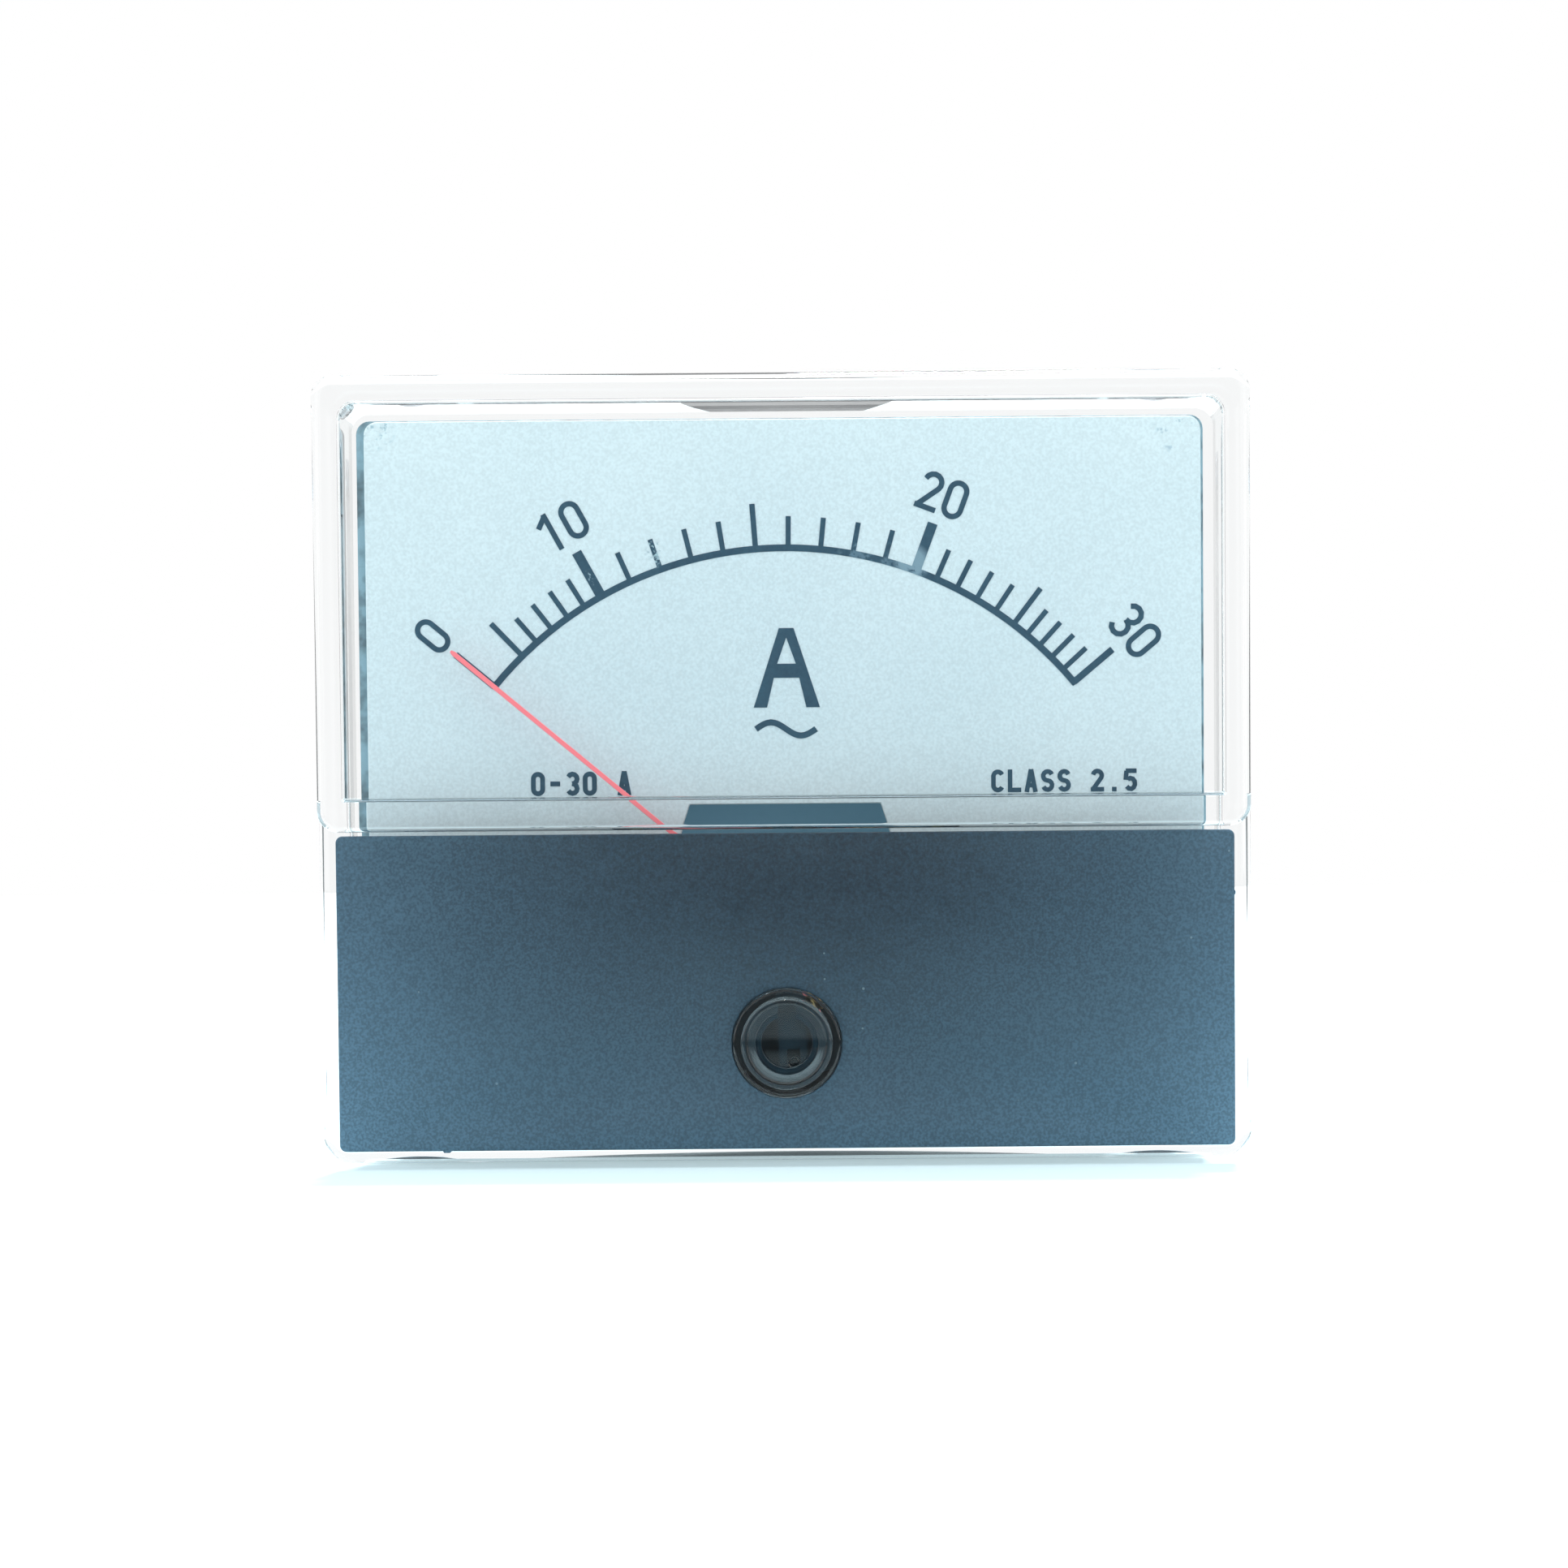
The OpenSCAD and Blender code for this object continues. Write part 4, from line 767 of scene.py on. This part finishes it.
def grown(mesh, tree, values, name):  # the mesh after a node tree with these inputs
    obj = bpy.data.objects.new(name, mesh)
    scene.collection.objects.link(obj)
    grow = obj.modifiers.new(tree.name, "NODES")
    grow.node_group = tree
    for item in tree.interface.items_tree:
        if item.in_out == "INPUT" and item.name in values:
            grow[item.identifier] = values[item.name]
    bpy.context.view_layer.update()
    made = evaluated(obj)
    obj.modifiers.remove(grow)
    bpy.data.objects.remove(obj)
    bm = bmesh.new()
    bm.from_mesh(made)
    bmesh.ops.recalc_face_normals(bm, faces=bm.faces)
    bm.to_mesh(made)
    bm.free()
    made.name = name
    return made


threadTree = makeThreadTree()
copyTree = makeCopyTree()


def threaded(head, s, start, name):
    rowsPerTurn, endRows = 8, 3
    sizes = {"Radius": s["radius"], "Start": start, "End": s["end"], "Pitch": s["pitch"],
             "Depth": s["threadDepth"], "Chamfer": s["chamfer"]}
    values = {label: size * mm for label, size in sizes.items()}
    values["Rows"] = int((s["end"] - start) / s["pitch"] * rowsPerTurn) + endRows
    return grown(head, threadTree, values, name)


def placed(item, points, node, name, spin=0.0, seed=1):
    source = bpy.data.objects.new("item", item)
    scene.collection.objects.link(source)
    bm = bmesh.new()
    for x, z in points:
        bm.verts.new((x * mm, 0, z * mm))
    spots = bpy.data.meshes.new("spots")
    bm.to_mesh(spots)
    bm.free()
    values = {"Item": source, "Spin": spin, "Seed": seed, "Material": materialOf[node]}
    mesh = grown(spots, copyTree, values, name)
    bpy.data.objects.remove(source)
    return mesh


def hexLoop(across):
    corner = across / math.sqrt(3)
    turns = [math.radians(60 * k) for k in range(6)]
    return [(corner * math.cos(a), corner * math.sin(a)) for a in turns]


def hexBlock(across, front, back, name, bore=0.0):
    corner, face = across / math.sqrt(3), across / 2 * hexShares["face"]
    slope = (corner - face) * math.tan(math.radians(30))
    block = loftRings([(front, hexLoop(across)), (back, hexLoop(across))], name)
    wide = corner + 0.01
    profile = [(0, front), (face, front), (wide, front + slope), (wide, back - slope), (face, back),
               (0, back)]
    block = combine(block, [latheMesh(profile, "turned", steps=72)], "INTERSECT")
    if bore:
        sink = bore * hexShares["sink"]
        profile = [(0, front - past), (bore + sink, front - past), (bore + sink, front), (bore, front + sink),
                   (bore, back - sink), (bore + sink, back), (bore + sink, back + past), (0, back + past)]
        block = combine(block, [latheMesh(profile, "hole", steps=48)], "DIFFERENCE")
    return finishMesh(block, name, across * hexShares["edge"], 2, 25.0)


def washerMesh(inner, outer, front, back, name, edge):
    ring = [(inner, front + edge / 2), (inner + edge / 2, front), (outer - edge, front),
            (outer - edge * 0.3, front + edge * 0.3), (outer, front + edge), (outer, back - edge),
            (outer - edge * 0.3, back - edge * 0.3), (outer - edge, back), (inner + edge, back),
            (inner, back - edge)]
    return finishMesh(latheMesh(ring + ring[:1], name, steps=72), name, angle=40.0)


def springMesh(inner, outer, front, back, slot, edge, lift, name, steps=72):  # split ring, one end lifted
    bm = bmesh.new()
    thick = back - front - lift
    section = [(inner, edge), (inner + edge, 0), (outer - edge, 0), (outer, edge), (outer, thick - edge),
               (outer - edge, thick), (inner + edge, thick), (inner, thick - edge)]
    half = math.asin(slot / 2 / outer)
    rows = []
    for k in range(steps + 1):
        a = half + (2 * math.pi - 2 * half) * k / steps
        start = front + lift * k / steps
        loop = [(r * math.sin(a), start + y, r * math.cos(a)) for r, y in section]
        rows.append([bm.verts.new((x * mm, y * mm, z * mm)) for x, y, z in loop])
    for a, b in zip(rows, rows[1:]):
        for i in range(len(section)):
            j = (i + 1) % len(section)
            bm.faces.new((a[i], a[j], b[j], b[i]))
    bm.faces.new(rows[0])
    bm.faces.new(rows[-1])
    return finishMesh(meshFrom(bm, name), name, angle=40.0)


def joined(meshes, name):
    bm = bmesh.new()
    for mesh in meshes:
        bm.from_mesh(mesh)
    made = bpy.data.meshes.new(name)
    bm.to_mesh(made)
    bm.free()
    return made


def makeSmallSet(s):  # at the four corners
    corners = [(i * s["x"], j * s["z"]) for i in (-1, 1) for j in (-1, 1)]
    h, front, back = s["head"], s["headFront"], s["headBack"]
    profile = [(0, front), (h - 0.35, front), (h - 0.1, front + 0.12), (h, front + 0.35), (h, back - 0.05),
               (h - 0.05, back), (0, back)]
    head = latheMesh(profile, "studHead", steps=48)
    stud = finishMesh(threaded(head, s, back - 0.3, "mountingStud"), "mountingStud", angle=38.0)
    washer = washerMesh(*s["washer"], "smallWasher", s["washerEdge"])
    nut = hexBlock(*s["nut"], "smallNut", s["radius"] + nutGap)
    return {
        "mounting_studs": placed(stud, corners, "mounting_studs", "mountingStuds", anyTurn, 4),
        "mounting_washers": placed(washer, corners, "mounting_washers", "mountingWashers", anyTurn, 7),
        "mounting_nuts": placed(nut, corners, "mounting_nuts", "mountingNuts")}


def makeTerminalSet(t):  # left and right
    pair = [(-t["x"], t["z"]), (t["x"], t["z"])]
    head = hexBlock(t["headAcross"], t["headFront"], t["headBack"], "terminalHead")
    stud = finishMesh(threaded(head, t, t["headBack"] - 0.5, "terminalStud"), "terminalStud", angle=38.0)
    washers = [washerMesh(*size, "washer", t["washerEdge"]) for size in t["washers"]]
    washers = [placed(one, pair, "terminal_washers", "washers", anyTurn, i) for i, one in enumerate(washers)]
    nuts = [hexBlock(*size, "nut", t["radius"] + nutGap) for size in t["nuts"]]
    nuts = [placed(one, pair, "terminal_nuts", "nuts") for one in nuts]
    spring = springMesh(*t["spring"], t["slot"], t["springEdge"], t["springLift"], "springWasher")
    return {
        "terminal_studs": placed(stud, pair, "terminal_studs", "terminalStuds"),
        "terminal_washers": joined(washers, "terminalWashers"),
        "terminal_nuts": joined(nuts, "terminalNuts"),
        "terminal_spring_washers": placed(spring, pair, "terminal_spring_washers", "springWashers")}


hardware = makeSmallSet(studs) | makeTerminalSet(terminals)
for node, mesh in hardware.items():
    mesh.shade_smooth()
    newPiece(mesh.name, mesh, node)
    print("rear hardware:", mesh.name, len(mesh.polygons), "faces")

# camera: lens in mm, place in metres, angles in degrees
cameraView = {"lens": 117.66, "place": (0.0041, -0.3879, -0.0059), "yaw": -0.08, "pitch": 3.79, "roll": 0.477,
              "shift": (-0.0425, 0.2615)}


def makeCamera(view):
    data = bpy.data.cameras.new("camera")
    data.lens = view["lens"]
    data.sensor_width = 36
    data.clip_start = 0.02
    obj = bpy.data.objects.new("camera", data)
    scene.collection.objects.link(obj)
    yaw, pitch = math.radians(view["yaw"]), math.radians(view["pitch"])
    forward = Vector((-math.sin(yaw) * math.cos(pitch), math.cos(yaw) * math.cos(pitch), -math.sin(pitch)))
    turn = forward.to_track_quat("-Z", "Y").to_matrix() @ Matrix.Rotation(math.radians(-view["roll"]), 3, "Z")
    obj.matrix_world = Matrix.Translation(view["place"]) @ turn.to_4x4()
    data.shift_x, data.shift_y = view["shift"]
    scene.camera = obj


makeCamera(cameraView)
print("camera placed")


# stage
studio = {"floor": -0.029, "size": 3.0, "floorColour": (0.5, 0.62, 0.66), "floorGlow": (0.38, 0.48, 0.51),
          "farGlow": (0.9, 0.9, 0.9), "fade": (0.09, 0.5), "worldLevel": 0.92,
          "frontGlow": 0.12, "frontFloor": (-0.08, -0.14), "frontWorld": (-0.975, -0.9),
          "lamps": {  # place, size and power
              "topLamp": ((0.0, -0.15, 0.75), (0.7, 0.5), 1.0),
              "leftLamp": ((-0.8, -0.45, 0.35), (0.5, 0.6), 0.6),
              "rightLamp": ((0.8, -0.4, 0.3), (0.5, 0.6), 0.5),
              "topSpark": ((-0.02, -0.42, 0.75), (0.05, 0.03), 0.14),
              "sideSpark": ((0.55, -0.5, 0.02), (0.03, 0.06), 0.12),
              "backLamp": ((0.05, 0.6, 1.4), (0.12, 0.12), 24.0)}}


def rayKinds(tree):  # rays that show a surface, and rays that were mirrored before
    path = tree.nodes.new("ShaderNodeLightPath").outputs
    bent = mathNode(tree, "MAXIMUM", path["Is Glossy Ray"], path["Is Transmission Ray"])
    seen = mathNode(tree, "MAXIMUM", path["Is Camera Ray"], bent)
    return seen, mathNode(tree, "GREATER_THAN", path["Glossy Depth"], 0.5)


def makeCloth(s):  # glows to the eye, brighter far off, and is dim in front in mirrored light
    mat, tree, shader, coords = newMaterial("paleCloth")
    tree.nodes.remove(shader)
    seen, mirrored = rayKinds(tree)
    away = tree.nodes.new("ShaderNodeVectorMath")
    away.operation = "LENGTH"
    tree.links.new(coords, away.inputs[0])
    distance = rangeNode(tree, away.outputs["Value"], *s["fade"])
    ahead = rangeNode(tree, axesOf(tree, coords)["Y"], *s["frontFloor"])
    dim = product(tree, mirrored, ahead, 1 - s["frontGlow"])
    cloth = tree.nodes.new("ShaderNodeBsdfDiffuse")
    tree.links.new(mixColour(tree, dim, s["floorColour"], (0, 0, 0)), cloth.inputs["Color"])
    glow = tree.nodes.new("ShaderNodeEmission")
    tree.links.new(mixColour(tree, distance, s["floorGlow"], s["farGlow"]), glow.inputs["Color"])
    tree.links.new(product(tree, seen, mathNode(tree, "SUBTRACT", 1.0, dim)), glow.inputs["Strength"])
    both = tree.nodes.new("ShaderNodeAddShader")
    tree.links.new(cloth.outputs[0], both.inputs[0])
    tree.links.new(glow.outputs[0], both.inputs[1])
    tree.links.new(both.outputs[0], tree.nodes["Material Output"].inputs["Surface"])
    return mat


def makeFloor(s):
    bm = bmesh.new()
    half = s["size"]
    corners = [(-half, -half), (half, -half), (half, half), (-half, half)]
    bm.faces.new([bm.verts.new((x, y, s["floor"])) for x, y in corners])
    mesh = bpy.data.meshes.new("floor")
    bm.to_mesh(mesh)
    bm.free()
    mesh.materials.append(makeCloth(s))
    floor = bpy.data.objects.new("floor", mesh)
    scene.collection.objects.link(floor)


def makeWorld(s):  # mirrored light is weaker from the front
    world = bpy.data.worlds.new("studio")
    scene.world = world
    world.use_nodes = True
    tree = world.node_tree
    seen, mirrored = rayKinds(tree)
    level = rangeNode(tree, seen, 0.0, 1.0, s["worldLevel"], 1.0)
    heading = axesOf(tree, tree.nodes.new("ShaderNodeTexCoord").outputs["Generated"])
    front = rangeNode(tree, heading["Y"], *s["frontWorld"], s["frontGlow"], 1.0)
    lost = product(tree, mirrored, mathNode(tree, "SUBTRACT", 1.0, front))
    back = tree.nodes["Background"]
    back.inputs["Color"].default_value = (1, 1, 1, 1)
    tree.links.new(product(tree, level, mathNode(tree, "SUBTRACT", 1.0, lost)), back.inputs["Strength"])


def makeLamps(s):
    for name, (place, size, power) in s["lamps"].items():
        data = bpy.data.lights.new(name, "AREA")
        data.shape = "RECTANGLE"
        data.size, data.size_y = size
        data.energy = power
        lamp = bpy.data.objects.new(name, data)
        scene.collection.objects.link(lamp)
        aim = (-Vector(place)).to_track_quat("-Z", "Y")
        lamp.matrix_world = Matrix.Translation(place) @ aim.to_matrix().to_4x4()


makeFloor(studio)
makeWorld(studio)
makeLamps(studio)
scene.view_settings.view_transform = "Standard"
print("stage made")
